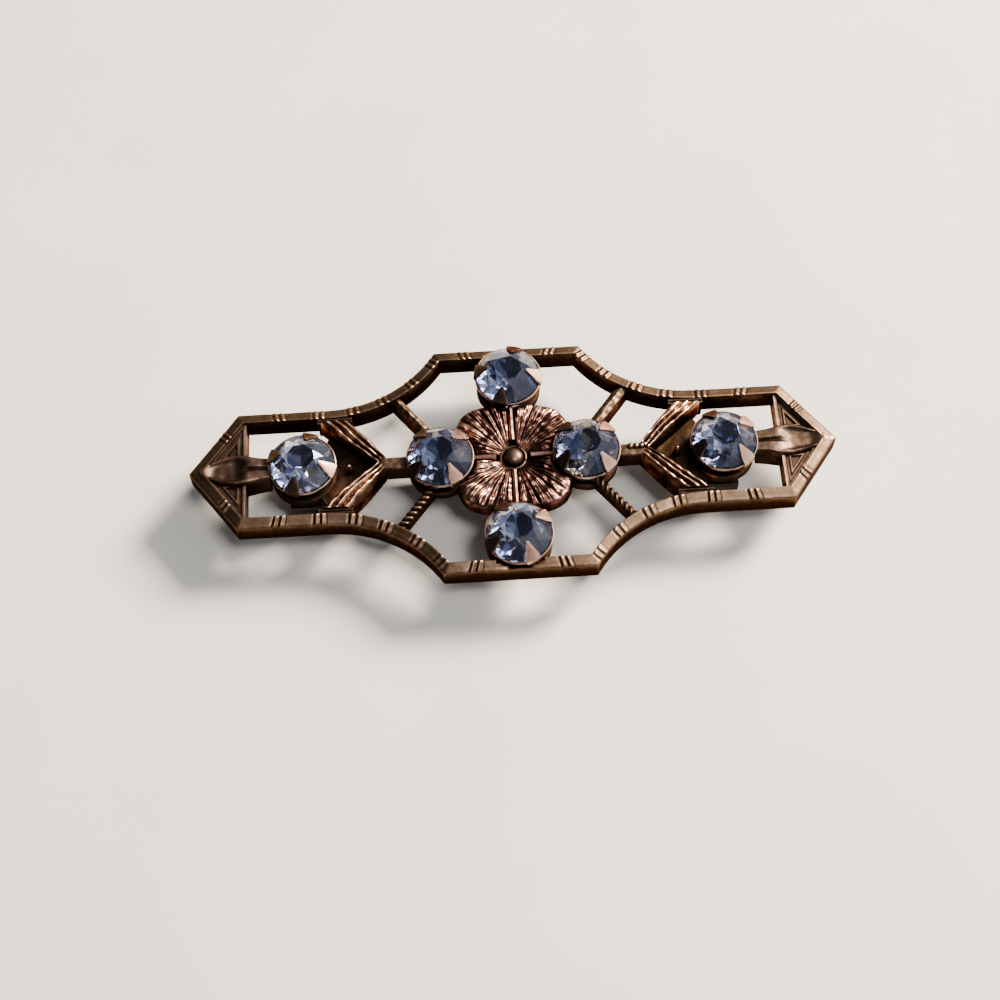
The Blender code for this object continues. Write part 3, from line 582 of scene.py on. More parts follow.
def finish_piece(name, shape, materials, replaced, crease=CREASE_ANGLE, rubbed=evenly):
    """Close the seams, turn the faces out, mark the wear and seat the piece on the brooch."""
    bmesh.ops.remove_doubles(shape, verts=shape.verts, dist=MERGE_DISTANCE)
    bmesh.ops.dissolve_degenerate(shape, edges=shape.edges, dist=MERGE_DISTANCE)
    bmesh.ops.recalc_face_normals(shape, faces=shape.faces)
    mark_wear(shape, rubbed)
    mesh = bpy.data.meshes.new(name)
    shape.to_mesh(mesh)
    shape.free()
    for material in materials:
        mesh.materials.append(material)
    mesh.shade_smooth()
    mesh.set_sharp_from_angle(angle=crease)
    piece = bpy.data.objects.new(name, mesh)
    bpy.context.scene.collection.objects.link(piece)
    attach(piece, "root")
    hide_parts(replaced)


def frame_piece(name, shapes, material=FRAME_BRASS):
    """A piece of the soldered openwork."""
    finish_piece(name, joined(shapes), [material], "filigree_frame")


def mapped_grid(columns, rows, place):
    """A grid whose point at column i and row j is moved to place(i, j)."""
    shape = bmesh.new()
    bmesh.ops.create_grid(shape, x_segments=columns, y_segments=rows, size=0.5)
    for vert in shape.verts:
        vert.co = place(round((vert.co.x + 0.5) * columns), round((vert.co.y + 0.5) * rows))
    return shape


def carry_down(shape, low):
    """Make a sheet solid down to a level."""
    for item in bmesh.ops.extrude_face_region(shape, geom=shape.faces[:])["geom"]:
        if isinstance(item, bmesh.types.BMVert):
            item.co.z = low


def carved(columns, rows, surface, low=BACK):
    """A solid with a shaped top: surface(u, v) gives the top point for u, v from 0 to 1."""
    shape = mapped_grid(columns, rows, lambda i, j: Vector(surface(i / columns, j / rows)))
    carry_down(shape, low)
    return shape


def swept(stations, section, closed=False):
    """A tube through stations: each gives its own ring of points; an open tube is closed at its ends."""
    rings = [section(station) for station in stations]
    if closed:
        rings.append(rings[0])
    else:
        rings = [[ring_middle(rings[0])] * len(rings[0])] + rings + [[ring_middle(rings[-1])] * len(rings[0])]
    sides = len(rings[0])
    return mapped_grid(len(rings) - 1, sides, lambda i, j: rings[i][j % sides])


def ring_middle(ring):
    """The point that closes an end of a tube."""
    return sum(ring, Vector()) / len(ring)


def turned(profile, centre=(0.0, 0.0)):
    """A body of revolution from a profile of radius and height."""
    shape = bmesh.new()
    points = [shape.verts.new((radius, 0.0, height)) for radius, height in profile]
    line = [shape.edges.new(pair) for pair in zip(points, points[1:])]
    bmesh.ops.spin(
        shape, geom=points + line, cent=(0, 0, 0), axis=(0, 0, 1), angle=2 * math.pi, steps=ROUND_SIDES,
        use_merge=True,
    )
    bmesh.ops.remove_doubles(shape, verts=shape.verts, dist=MERGE_DISTANCE)
    bmesh.ops.translate(shape, vec=(*centre, 0.0), verts=shape.verts)
    return shape


def joined(shapes):
    """One bmesh from several."""
    whole = bmesh.new()
    for shape in shapes:
        mesh = bpy.data.meshes.new("part")
        shape.to_mesh(mesh)
        shape.free()
        whole.from_mesh(mesh)
        bpy.data.meshes.remove(mesh)
    return whole


def uneven(point, size, height):
    """A smooth random height with lumps of about the given size."""
    return noise.noise(point / size) * height


def within(share):
    """A share kept from 0 to 1."""
    return min(1.0, max(0.0, share))


def shoulder(distance, radius):
    """How far a rounded edge has dropped at a distance in from it, as a share of its radius."""
    if distance >= radius:
        return 0.0
    return 1.0 - math.sqrt(max(0.0, 1.0 - (1.0 - distance / radius) ** 2))


def rounded_corner(corner, first, last):
    """Points of the arc that rounds the corner between the ways to two other points."""
    to_first = (first - corner).normalized()
    to_last = (last - corner).normalized()
    half = to_first.angle(to_last) / 2
    centre = corner + (to_first + to_last).normalized() * FLANK_RADIUS / math.sin(half)
    start = corner + to_first * FLANK_RADIUS / math.tan(half) - centre
    sweep = start.angle_signed(corner + to_last * FLANK_RADIUS / math.tan(half) - centre)
    return [centre + Matrix.Rotation(-sweep * step / ARC_STEPS, 2) @ start for step in range(ARC_STEPS + 1)]


def quarter_outline():
    """Outer edge of the frame from the right tip to the middle of the bulge."""
    tip = Vector((HALF_LENGTH, 0.0))
    end_corner = Vector((END_CORNER_X, FLANK_HALF_WIDTH))
    waist = Vector((WAIST_X, FLANK_HALF_WIDTH))
    bulge = Vector((BULGE_HALF_LENGTH, BULGE_HALF_WIDTH))
    middle = Vector((0.0, BULGE_HALF_WIDTH))
    return [tip, end_corner, *rounded_corner(waist, end_corner, bulge), bulge, middle]


def full_outline():
    """The whole outer edge, counter-clockwise from the right tip."""
    quarter = quarter_outline()
    upper = quarter + [Vector((-point.x, point.y)) for point in reversed(quarter[:-1])]
    lower = [Vector((point.x, -point.y)) for point in reversed(upper)]
    return upper + lower[1:-1]


def inward_ways(points):
    """At each corner of a closed line, the way in that keeps a band's width even."""
    ways = []
    for before, point, after in zip(points[-1:] + points[:-1], points, points[1:] + points[:1]):
        first = (point - before).normalized()
        last = (after - point).normalized()
        total = Vector((-first.y - last.y, first.x + last.x))
        ways.append(total / (1.0 + first.dot(last)))
    return ways


def tick_relief(distance):
    """Height of the paired ridges, with a shallow groove on each side, at a distance from a pair's middle."""
    nearest = min(abs(distance - TICK_SPACING / 2), abs(distance + TICK_SPACING / 2))
    if nearest < TICK_HALF_WIDTH:
        return TICK_HEIGHT * math.cos(math.pi / 2 * nearest / TICK_HALF_WIDTH)
    return -TICK_GROOVE_DEPTH * math.sin(math.pi * min(1.0, (nearest - TICK_HALF_WIDTH) / TICK_GROOVE))


def rail_stations():
    """Points along the rail, close together at the ridges: place, way in, and relief there."""
    points = full_outline()
    ways = inward_ways(points)
    lengths = [(after - before).length for before, after in zip(points, points[1:] + points[:1])]
    whole = sum(lengths)
    quarter = whole / 4
    starts = [sum(lengths[:index]) for index in range(len(points))]
    marks = set(starts)
    marks.update(index * RAIL_STEP for index in range(int(whole / RAIL_STEP)))
    centres = []
    for turn in range(4):
        for share in TICK_SHARES:
            centres.append(turn * quarter + (share if turn % 2 == 0 else 1 - share) * quarter)
    for centre in centres:
        steps = round(TICK_REACH / TICK_STEP)
        marks.update(centre + step * TICK_STEP for step in range(-steps, steps + 1))
    stations = []
    index = 0
    last = -1.0
    for mark in sorted(marks):
        if mark >= whole or mark - last < TICK_STEP / 4:
            continue
        last = mark
        while index + 1 < len(starts) and starts[index + 1] <= mark:
            index += 1
        share = (mark - starts[index]) / lengths[index]
        following = (index + 1) % len(points)
        place = points[index].lerp(points[following], share)
        way = ways[index].lerp(ways[following], share)
        relief = tick_relief(min((mark - centre for centre in centres), key=abs))
        stations.append((place, way, relief))
    return stations


def below_cups(point, high):
    """A height kept under the cups of the top and bottom stones."""
    for name in ("top", "bottom"):
        distance = (point - CENTRES[name]).length
        if distance < STONE_RADIUS + 2 * CUP_WALL:
            slope = (CUP_FLARE - BACK) / (STONE_RADIUS - CUP_BASE_RADIUS)
            high = min(high, BACK + max(0.0, distance - CUP_BASE_RADIUS - CUP_ROOM) * slope)
    return high


def rail_section(station):
    """Ring of the rail: upright walls, a top that slopes down outwards and a narrow crest inside."""
    place, way, relief = station
    width = RAIL_WIDTH
    drop = RAIL_TOP - RAIL_DROP
    spot = Vector((*place, 0.0))
    wave = uneven(spot, RAIL_WAVE_SIZE, RAIL_WAVE)
    profile = (
        (0.04 * width, BACK, 0.0),
        (0.0, BACK + 0.06 * width, 0.0),
        (0.0, (BACK + drop) / 2, 0.2),
        (0.0, drop - 0.10 * width, 0.6),
        (0.03 * width, drop - 0.02 * width, 1.0),
        (0.12 * width, drop + 0.07 * width, 1.0),
        (0.40 * width, RAIL_TOP - 0.6 * RAIL_DROP, 1.0),
        (0.62 * width, RAIL_TOP - 0.36 * RAIL_DROP, 1.0),
        (0.80 * width, RAIL_TOP - 0.12 * RAIL_DROP, 1.0),
        (0.90 * width, RAIL_TOP - 0.01 * RAIL_DROP, 0.7),
        (0.97 * width, RAIL_TOP - 0.05 * RAIL_DROP, 0.4),
        (width, RAIL_TOP - 0.20 * RAIL_DROP, 0.2),
        (width, (BACK + RAIL_TOP) / 2, 0.0),
        (width, BACK + 0.06 * width, 0.0),
        (0.96 * width, BACK, 0.0),
    )
    ring = []
    for inset, height, share in profile:
        lift = relief * share + wave - RAIL_WAVE
        dent = uneven(spot + Vector((0, 0, height * 3)), RAIL_DENT_SIZE, RAIL_DENT)
        point = place + way * (max(0.0, inset + dent) if share else inset)
        high = below_cups(point, height + (lift if share else 0.0))
        ring.append(Vector((*point, max(BACK, high))))
    return ring


def rail():
    """The grooved rail that runs round the brooch."""
    frame_piece("rim_rail", [swept(rail_stations(), rail_section, closed=True)])


def ring_points(radius, height, count, turn=0.0):
    """Points evenly round the axis."""
    angles = [turn + 2 * math.pi * index / count for index in range(count)]
    return [(radius * math.cos(angle), radius * math.sin(angle), height) for angle in angles]


def cut_stone(name, turn):
    """A brilliant: glass crown over a foiled pavilion, its facet edges a little rubbed."""
    half_step = math.pi / STONE_FOLD
    culet = STONE_LOW.z
    pavilion_slope = (GIRDLE_LOW - culet) / STONE_RADIUS
    star_level = GIRDLE_HIGH + (STONE_RADIUS - STAR_RADIUS * math.cos(half_step)) * CROWN_SLOPE
    lower_level = culet + LOWER_RADIUS * math.cos(half_step) * pavilion_slope
    points = ring_points(TABLE_RADIUS, TABLE_LEVEL, STONE_FOLD)
    points += ring_points(STAR_RADIUS, star_level, STONE_FOLD, half_step)
    points += ring_points(STONE_RADIUS, GIRDLE_HIGH, 2 * STONE_FOLD)
    points += ring_points(STONE_RADIUS, GIRDLE_LOW, 2 * STONE_FOLD)
    points += ring_points(LOWER_RADIUS, lower_level, STONE_FOLD, half_step)
    points.append((0.0, 0.0, culet))
    shape = bmesh.new()
    for point in points:
        shape.verts.new(point)
    bmesh.ops.convex_hull(shape, input=shape.verts[:])
    bmesh.ops.dissolve_limit(shape, angle_limit=FLAT_ANGLE, verts=shape.verts, edges=shape.edges)
    glass_low = GIRDLE_LOW + MERGE_DISTANCE
    crown = [edge for edge in shape.edges if min(vert.co.z for vert in edge.verts) > glass_low]
    bmesh.ops.bevel(
        shape, geom=crown, offset=FACET_BEVEL, segments=1, profile=0.5, material=-1, affect="EDGES"
    )
    turn_round = Matrix.Rotation(math.radians(turn), 3, "Z")
    bmesh.ops.rotate(shape, cent=(0, 0, 0), matrix=turn_round, verts=shape.verts)
    bmesh.ops.translate(shape, vec=(*CENTRES[name], 0.0), verts=shape.verts)
    # Painted reflections: each facet gets a random glint value, and the table a dark one
    facet_glint = shape.faces.layers.float.new("facet_glint")
    for face in shape.faces:
        middle = face.calc_center_median()
        face.material_index = int(middle.z < glass_low)
        face[facet_glint] = noise.cell(middle * FACET_GLINT_SCALE) % 1.0
        if middle.z > TABLE_LEVEL - MERGE_DISTANCE:
            face[facet_glint] = TABLE_PAINTED_REFLECTION
    finish_piece(f"paste_{name}", shape, [PASTE, FOIL], f"stone_{name}", crease=FACET_CREASE)


def claw_sections(reach):
    """Middle line of a claw from the cup over the girdle: radius, height, way out of its face, half width."""
    lean = Vector((CROWN_SLOPE, 1.0)).normalized()
    gap = RIM_GAP
    return (
        (STONE_RADIUS - 0.00035, GIRDLE_LOW - 0.00085, Vector((0.85, -0.53)), 0.00036),
        (STONE_RADIUS + gap, GIRDLE_LOW - 0.00030, Vector((0.97, -0.24)), 0.00046),
        (STONE_RADIUS + gap, GIRDLE_LOW + 0.00002, Vector((1.0, 0.0)), 0.00056),
        (STONE_RADIUS + gap, GIRDLE_HIGH + gap, Vector((0.92, 0.40)), 0.00058),
        (*crown_point(0.19 * reach), lean, 0.00054),
        (*crown_point(0.48 * reach), lean, 0.00038),
        (*crown_point(0.78 * reach), lean, 0.00020),
        (*crown_point(reach), lean, 0.00008),
    )


def crown_point(inset):
    """Radius and height just over the crown, at a distance in from the girdle."""
    return STONE_RADIUS - inset, GIRDLE_HIGH + inset * CROWN_SLOPE + RIM_GAP * math.hypot(1.0, CROWN_SLOPE)


def claw(turn, reach):
    """One folded triangular claw about the axis, its edges a little rounded."""
    out = Vector((math.cos(turn), math.sin(turn), 0.0))
    side = Vector((-out.y, out.x, 0.0))

    def section(station):
        radius, height, way, half_width = station
        face = out * way.x + UP * way.y
        middle = out * radius + UP * height
        return [
            middle + side * across * half_width + face * high * CLAW_THICKNESS
            for across, high in CLAW_SECTION
        ]

    return swept(claw_sections(reach), section)


def claw_setting(name, turns):
    """A thin cup with a fine rim round the girdle, and four claws."""
    wall = CUP_WALL
    inner = STONE_RADIUS + RIM_GAP
    profile = (
        (0.0, BACK),
        (CUP_BASE_RADIUS - 0.5 * wall, BACK),
        (CUP_BASE_RADIUS, BACK + 0.5 * wall),
        (STONE_RADIUS - 0.00015, CUP_FLARE),
        (inner + wall, GIRDLE_LOW - 0.00015),
        (inner + wall, GIRDLE_LOW + 0.00008),
        (inner + 0.5 * wall, GIRDLE_LOW + 0.00012),
        (inner, GIRDLE_LOW + 0.00008),
        (inner, GIRDLE_LOW - 0.00006),
        (STONE_RADIUS - 0.00045, CUP_FLARE),
        (0.0003, BACK + 0.00042),
        (0.0, BACK + 0.00038),
    )
    cup = turned(profile)
    for face in cup.faces:
        face.material_index = int(face.calc_center_median().z < GIRDLE_LOW - RUBBED_RIM)
    shapes = [cup]
    for turn in turns:
        # Painted light: claws on the right, towards the light, get the bright copper; the others get the dark
        # brown as painted shade
        dull = math.cos(math.radians(turn)) < LIT_CLAW_SIDE
        folded = claw(math.radians(turn), SHADED_CLAW_REACH if dull else CLAW_REACH)
        for face in folded.faces:
            face.material_index = int(dull)
        shapes.append(folded)
    shape = joined(shapes)
    bmesh.ops.translate(shape, vec=(*CENTRES[name], 0.0), verts=shape.verts)
    finish_piece(f"claws_{name}", shape, [CLAW_BRASS, DULL_SHADED_BRASS], f"setting_{name}")


def seats():
    """The soldered rings that the cups stand in."""
    high = BACK + SEAT_THICKNESS
    profile = (
        (SEAT_BORE, BACK),
        (SEAT_RADIUS - SEAT_EDGE, BACK),
        (SEAT_RADIUS, BACK + SEAT_EDGE),
        (SEAT_RADIUS, high - SEAT_EDGE),
        (SEAT_RADIUS - SEAT_EDGE, high),
        (SEAT_FLARE, high),
        (SEAT_BORE, BACK),
    )
    frame_piece("seat_rings", [turned(profile, centre) for centre in CENTRES.values()])


def ridge(v, ribs):
    """Height across a ribbed leaf, v from 0 to 1: rounded ridges with sharp grooves between them."""
    return 1.0 - abs(2.0 * ((v * ribs) % 1.0) - 1.0) ** RIB_POWER


def edge_drop(v, half_width, radius):
    """Drop near either long edge of a leaf, v from 0 to 1 across it."""
    return shoulder(min(v, 1.0 - v) * 2 * half_width, radius) * radius


def end_panel(side, up):
    """A triangular panel of a pointed end, stepped down in nested frames."""
    slope = Vector((HALF_LENGTH - END_CORNER_X, FLANK_HALF_WIDTH)).normalized()
    reach = slope.y * HALF_LENGTH - WING_TUCK * RAIL_WIDTH
    high = RAIL_TOP - WING_RECESS
    corners = (
        (WING_X, WING_LOW),
        (WING_X, (reach - slope.y * WING_X) / slope.x),
        ((reach - slope.x * WING_LOW) / slope.y, WING_LOW),
    )
    shape = bmesh.new()
    bmesh.ops.create_circle(shape, segments=3, radius=1.0, cap_ends=True)
    for vert, (x, y) in zip(shape.verts, corners):
        vert.co = (side * x, up * y, high)
    carry_down(shape, BACK)
    bmesh.ops.recalc_face_normals(shape, faces=shape.faces)
    top = max(shape.faces, key=lambda face: face.calc_center_median().z)
    for width, step in WING_STEPS:
        bmesh.ops.inset_region(shape, faces=[top], thickness=width, use_even_offset=True)
        bmesh.ops.translate(shape, vec=(0.0, 0.0, step), verts=top.verts)
    return shape


def end_bud(side):
    """The bud of an end: two folds at the stone, opening into a wide hollow towards the tip."""
    length = BUD_TIP_X - END_STONE_X - SEAT_RADIUS

    def surface(u, v):
        across = 2 * v - 1
        swell = math.sin(math.pi * min(1.0, BUD_START + BUD_GROWTH * u) * BUD_TURN)
        swell *= 1.0 - BUD_DRAW_IN * max(0.0, u - BUD_WIDEST) / (1 - BUD_WIDEST)
        width = BUD_HALF_WIDTH * (BUD_NECK + (1 - BUD_NECK) * swell)
        opening = within(min(u, HOLLOW_END - u) / HOLLOW_RAMP)
        opening = opening ** 2 * (3 - 2 * opening)
        hollow = opening * max(0.0, 1.0 - (across / HOLLOW_HALF_WIDTH) ** 4)
        crease = (1.0 - opening) * math.exp(-(across / FOLD_HALF_WIDTH) ** 2)
        crease *= within((u - FOLD_START) / FOLD_RAMP)
        spot = Vector((side * (BUD_TIP_X - u * length), across * width, 0.0))
        crest = BUD_RIDGE * (BUD_RIDGE_START + (1 - BUD_RIDGE_START) * swell)
        crest *= 1.0 - HOLLOW_DEPTH * hollow - FOLD_DEPTH * crease - BUD_ROUNDING * across ** 2
        height = RAIL_TOP - BUD_EDGE_RECESS + crest + uneven(spot, BUD_LUMP_SIZE, BUD_LUMP)
        return spot.x, spot.y, height - BUD_EDGE_DEPTH * edge_drop(v, width, BUD_EDGE)

    return carved(LEAF_STEPS, 32, surface)


def leaf_root(side, up):
    """Middle of the collar where a leaf meets the rail's inner side."""
    return Vector((side * LEAF_ROOT_X, up * (INNER_FLANK - COLLAR_WIDTH / 2)))


def chevron_leaf(side, up):
    """A leaf ribbed along its length, cut off along the rail at its root and narrow at the chevron's apex."""
    root = leaf_root(side, up) - Vector((0.0, up * COLLAR_WIDTH * COLLAR_TUCK))
    apex = Vector((side * LEAF_APEX_X, up * LEAF_APEX_HALF_WIDTH))
    way = (apex - root).normalized()
    across = Vector((-way.y, way.x))

    def surface(u, v):
        lateral = 2 * v - 1
        swell = 1.0 + LEAF_SWELL * math.sin(math.pi * u)
        broad = root + Vector((math.copysign(1.0, across.x), 0.0)) * lateral * LEAF_ROOT_HALF_WIDTH
        narrow = apex + across * lateral * LEAF_TIP_HALF_WIDTH
        middle = root + way * u * (apex - root).length
        edge = broad.lerp(narrow, u)
        spot = middle + (edge - middle) * swell
        crest = LEAF_CREST * math.sin(math.pi * min(1.0, u + LEAF_CREST_START)) ** LEAF_CREST_POWER
        crest *= 1 - lateral ** 2
        wander = LEAF_WANDER * math.sin(6 * u + 3 * side + up)
        rib = LEAF_RIB_HEIGHT * ridge(min(0.999, max(0.0, v + wander * v * (1 - v) * 4)), LEAF_RIBS)
        lump = uneven(Vector((*spot, 0.2 * side)), LEAF_LUMP_SIZE, LEAF_LUMP)
        half_width = LEAF_ROOT_HALF_WIDTH * (1 - u) + LEAF_TIP_HALF_WIDTH * u
        height = RAIL_TOP - LEAF_RECESS + crest + rib + lump
        return spot.x, spot.y, height - edge_drop(v, half_width, LEAF_EDGE)

    return carved(LEAF_STEPS, 12 * LEAF_RIBS, surface)


def bar_between(start, end, width, high, crest, lumps=0.0):
    """An upright bar with a ridged top between two places in plan."""
    way = end - start
    across = Vector((-way.y, way.x)).normalized()

    def surface(u, v):
        lateral = 2 * v - 1
        spot = start + way * u + across * lateral * width / 2
        height = high + crest * (1 - abs(lateral)) + uneven(Vector((*spot, 0.0)), BAR_LUMP_SIZE, lumps)
        return spot.x, spot.y, height - edge_drop(v, width / 2, BAR_EDGE * width)

    return carved(max(6, math.ceil(way.length / BAR_STEP)), BAR_ROWS, surface)


def leaf_collar(side, up):
    """Two small ridges along the rail at the root of a leaf."""
    root = leaf_root(side, up)
    half = Vector((LEAF_ROOT_HALF_WIDTH + COLLAR_OVERHANG, 0.0))
    high = RAIL_TOP - COLLAR_RECESS
    width = COLLAR_RIDGE_SHARE * COLLAR_WIDTH
    ridges = []
    for step in (-COLLAR_STEP, COLLAR_STEP):
        place = root + Vector((0.0, up * step * COLLAR_WIDTH))
        ridges.append(bar_between(place - half, place + half, width, high, COLLAR_CREST))
    return joined(ridges)


def leaf_floor(side):
    """The recessed plate between two leaves and the end seat, dished a little."""
    root = leaf_root(side, 1)

    def surface(u, v):
        x = LEAF_APEX_X + (END_STONE_X - LEAF_APEX_X) * u
        reach = (x - LEAF_APEX_X) / (LEAF_ROOT_X - LEAF_APEX_X)
        if x > LEAF_ROOT_X:
            reach = (END_STONE_X - x) / (END_STONE_X - LEAF_ROOT_X)
        spot = Vector((side * x, (2 * v - 1) * reach * root.y, 0.0))
        return spot.x, spot.y, BACK + FLOOR_THICKNESS + uneven(spot, FLOOR_LUMP_SIZE, FLOOR_LUMP)

    return carved(24, 16, surface)


def leaf_bead(side):
    """The small tall bead on the axis between two leaves and the end stone."""
    shape = bmesh.new()
    place = Matrix.Translation((side * LEAF_BEAD_X, 0.0, BACK + FLOOR_THICKNESS))
    stretch = Matrix.Diagonal((LEAF_BEAD_RADIUS, LEAF_BEAD_RADIUS, LEAF_BEAD_HEIGHT, 1.0))
    bmesh.ops.create_uvsphere(shape, u_segments=18, v_segments=12, radius=1.0, matrix=place @ stretch)
    return shape


def link_bar(side):
    """The bar on the axis between an inner seat and a chevron; the right one carries three bumps."""
    start = Vector((side * (INNER_STONE_X + SEAT_RADIUS - OVERLAP), 0.0))
    end = Vector((side * (LEAF_APEX_X + OVERLAP), 0.0))
    high = RAIL_TOP - LINK_RECESS
    shapes = [bar_between(start, end, LINK_WIDTH, high, LINK_CREST, FINE_LUMP)]
    if side > 0:
        for index in range(BUMPS):
            bump = bmesh.new()
            place = (BUMP_X + index * BUMP_SPACING, BUMP_Y, high)
            bmesh.ops.create_uvsphere(
                bump, u_segments=14, v_segments=9, radius=BUMP_RADIUS, matrix=Matrix.Translation(place)
            )
            shapes.append(bump)
    return joined(shapes)


def ray_to_outline(start, way):
    """Where a ray from inside the frame meets its outer edge."""
    points = full_outline()
    for before, after in zip(points, points[1:] + points[:1]):
        edge = after - before
        cross = way.cross(edge)
        if abs(cross) < PARALLEL:
            continue
        reach = (before - start).cross(edge) / cross
        share = (before - start).cross(way) / cross
        if reach > 0 and 0 <= share <= 1:
            return start + way * reach
    return start


def strut_line(side, up):
    """Where a strut leaves its seat, and where it ends inside the rail."""
    out = Vector((side * math.cos(STRUT_SEAT_ANGLE), up * math.sin(STRUT_SEAT_ANGLE)))
    start = Vector((side * INNER_STONE_X, 0.0)) + out * (SEAT_RADIUS - OVERLAP)
    way = Vector((side * math.cos(STRUT_ANGLE), up * math.sin(STRUT_ANGLE)))
    return start, ray_to_outline(start, way) - way * STRUT_TUCK * RAIL_WIDTH


def rope(start, end, level):
    """Two strands of wire twisted together."""
    way = end - start
    steps = math.ceil(way.length / ROPE_LAY_LENGTH * ROPE_STEPS)
    angles = [2 * math.pi * index / STRAND_SIDES for index in range(STRAND_SIDES)]
    along_way = Vector((*way.normalized(), 0.0))
    across = Vector((-along_way.y, along_way.x, 0.0))
    strands = []
    for phase in (0.0, math.pi):
        def section(step, phase=phase):
            turn = phase + 2 * math.pi * way.length / ROPE_LAY_LENGTH * step / steps
            middle = Vector((*(start + way * step / steps), level))
            middle += (across * math.cos(turn) + UP * math.sin(turn)) * STRAND_TURN_RADIUS
            return [middle + (across * math.cos(a) + UP * math.sin(a)) * STRAND_RADIUS for a in angles]

        strands.append(swept(range(steps + 1), section))
    return joined(strands)


def strut(side, up):
    """The lower struts carry a twisted wire; the upper ones are stout and lumpy."""
    start, end = strut_line(side, up)
    if up < 0:
        level = RAIL_TOP - ROPE_RECESS
        core = bar_between(start, end, ROPE_CORE_WIDTH, level - ROPE_CORE_DROP, 0.0)
        return joined([rope(start, end, level), core])
    return bar_between(start, end, STRUT_WIDTHS[side], RAIL_TOP - STRUT_RECESS, STRUT_CREST, STRUT_LUMP)


def cross_ridge(way, distance):
    """The thin ridge between two petals, from the boss to a seat."""
    start = way * (HUB_RADIUS + ROOM)
    end = way * (distance - SEAT_RADIUS + OVERLAP)
    bar = bar_between(start, end, CROSS_BAR_WIDTH, RAIL_TOP - CROSS_BAR_RECESS, CROSS_BAR_CREST, FINE_LUMP)
    return joined([bar, bar_between(start, end, WEB_WIDTH, BACK + WEB_THICKNESS, 0.0, WEB_LUMP)])


def centre_boss():
    """The bored boss that carries the flower's shank."""
    high = BACK + BOSS_HEIGHT
    bore = SHANK_RADIUS + ROOM
    profile = (
        (bore, BACK),
        (BOSS_RADIUS, BACK),
        (BOSS_RADIUS, high - BOSS_EDGE),
        (BOSS_RADIUS - BOSS_EDGE, high),
        (bore, high),
        (bore, BACK),
    )
    frame_piece("centre_boss", [turned(profile)])


def openwork():
    """All that fills the rail."""
    frame_piece("end_panels", [end_panel(side, up) for side, up in QUARTERS], SHADED_SUNKEN_BRASS)
    frame_piece("end_buds", [end_bud(side) for side in SIDES], SHADED_SUNKEN_BRASS)
    frame_piece("chevron_leaves", [chevron_leaf(side, up) for side, up in QUARTERS], LEAF_BRASS)
    frame_piece("leaf_beads", [leaf_bead(side) for side in SIDES], CLAW_BRASS)
    frame_piece("leaf_collars", [leaf_collar(side, up) for side, up in QUARTERS])
    frame_piece("leaf_floors", [leaf_floor(side) for side in SIDES])
    frame_piece("link_bars", [link_bar(side) for side in SIDES])
    frame_piece("struts", [strut(side, up) for side, up in QUARTERS])
    ridges = [cross_ridge(Vector((side, 0.0)), INNER_STONE_X) for side in SIDES]
    ridges += [cross_ridge(Vector((0.0, side)), CENTRES["top"].y) for side in SIDES]
    frame_piece("cross_ridges", ridges, CLAW_BRASS)
    centre_boss()


def reach_to_circle(start, way, centre, radius, far=False):
    """Distance along a ray to a circle's near or far side; endless where the ray misses it."""
    along = (centre - start).dot(way)
    gap = radius ** 2 - (centre - start).length_squared + along ** 2
    if gap < 0:
        return math.inf
    return along + math.sqrt(gap) if far else along - math.sqrt(gap)


def petal(side, up):
    """A domed petal whose straight ribs spread from the hub, cut back where the settings stand."""
    bar_room = CROSS_BAR_WIDTH / 2 + BAR_ROOM
    claw_room = STONE_RADIUS + CLAW_THICKNESS + CLAW_ROOM
    origin = Vector((bar_room, bar_room))
    root = (HUB_RADIUS - SHANK_RADIUS) / 2
    inner_stone = Vector((INNER_STONE_X, 0.0))
    side_stone = Vector((0.0, CENTRES["top"].y))

    def surface(u, v):
        angle = math.pi / 2 * v
        way = Vector((math.cos(angle), math.sin(angle)))
        rounding = 1.0 - PETAL_ROUNDING * abs(math.cos(2 * angle)) ** PETAL_CORNER_POWER
        reach = min(
            reach_to_circle(origin, way, Vector((0.0, 0.0)), PETAL_RADIUS * rounding, far=True),
            reach_to_circle(origin, way, inner_stone, claw_room),
            reach_to_circle(origin, way, side_stone, claw_room),
        )
        distance = root + (reach - root) * u
        rib = ridge(v, PETAL_RIBS) + FINE_RIB_SHARE * ridge(v, FINE_RIBS)
        spot = origin + way * distance
        dome = math.sin(DOME_TURN * (distance / (PETAL_RADIUS - root)) ** DOME_POWER)
        to_side = distance * min(way.x, way.y)
        roll = PETAL_EDGE * shoulder(reach - distance, PETAL_EDGE)
        roll += PETAL_SIDE_ROLL * PETAL_EDGE * shoulder(to_side, PETAL_EDGE)
        place = Vector((side * spot.x, up * spot.y, 0.0))
        hammered = 1.0 + uneven(place + HAMMER_SHIFT, HAMMER_SIZE, HAMMER_SHARE)
        shown = min(1.0, distance / RIB_START)
        shown *= min(1.0, PETAL_RIM_RIBS + (reach - distance) / PETAL_RIM)
        height = PETAL_BACK + PETAL_THICKNESS + PETAL_RISE * dome - roll
        height += uneven(place, PETAL_LUMP_SIZE, PETAL_LUMP)
        height += PETAL_RIB_HEIGHT * shown * rib * hammered
        return place.x, place.y, height

    return carved(*PETAL_GRID, surface, PETAL_BACK)


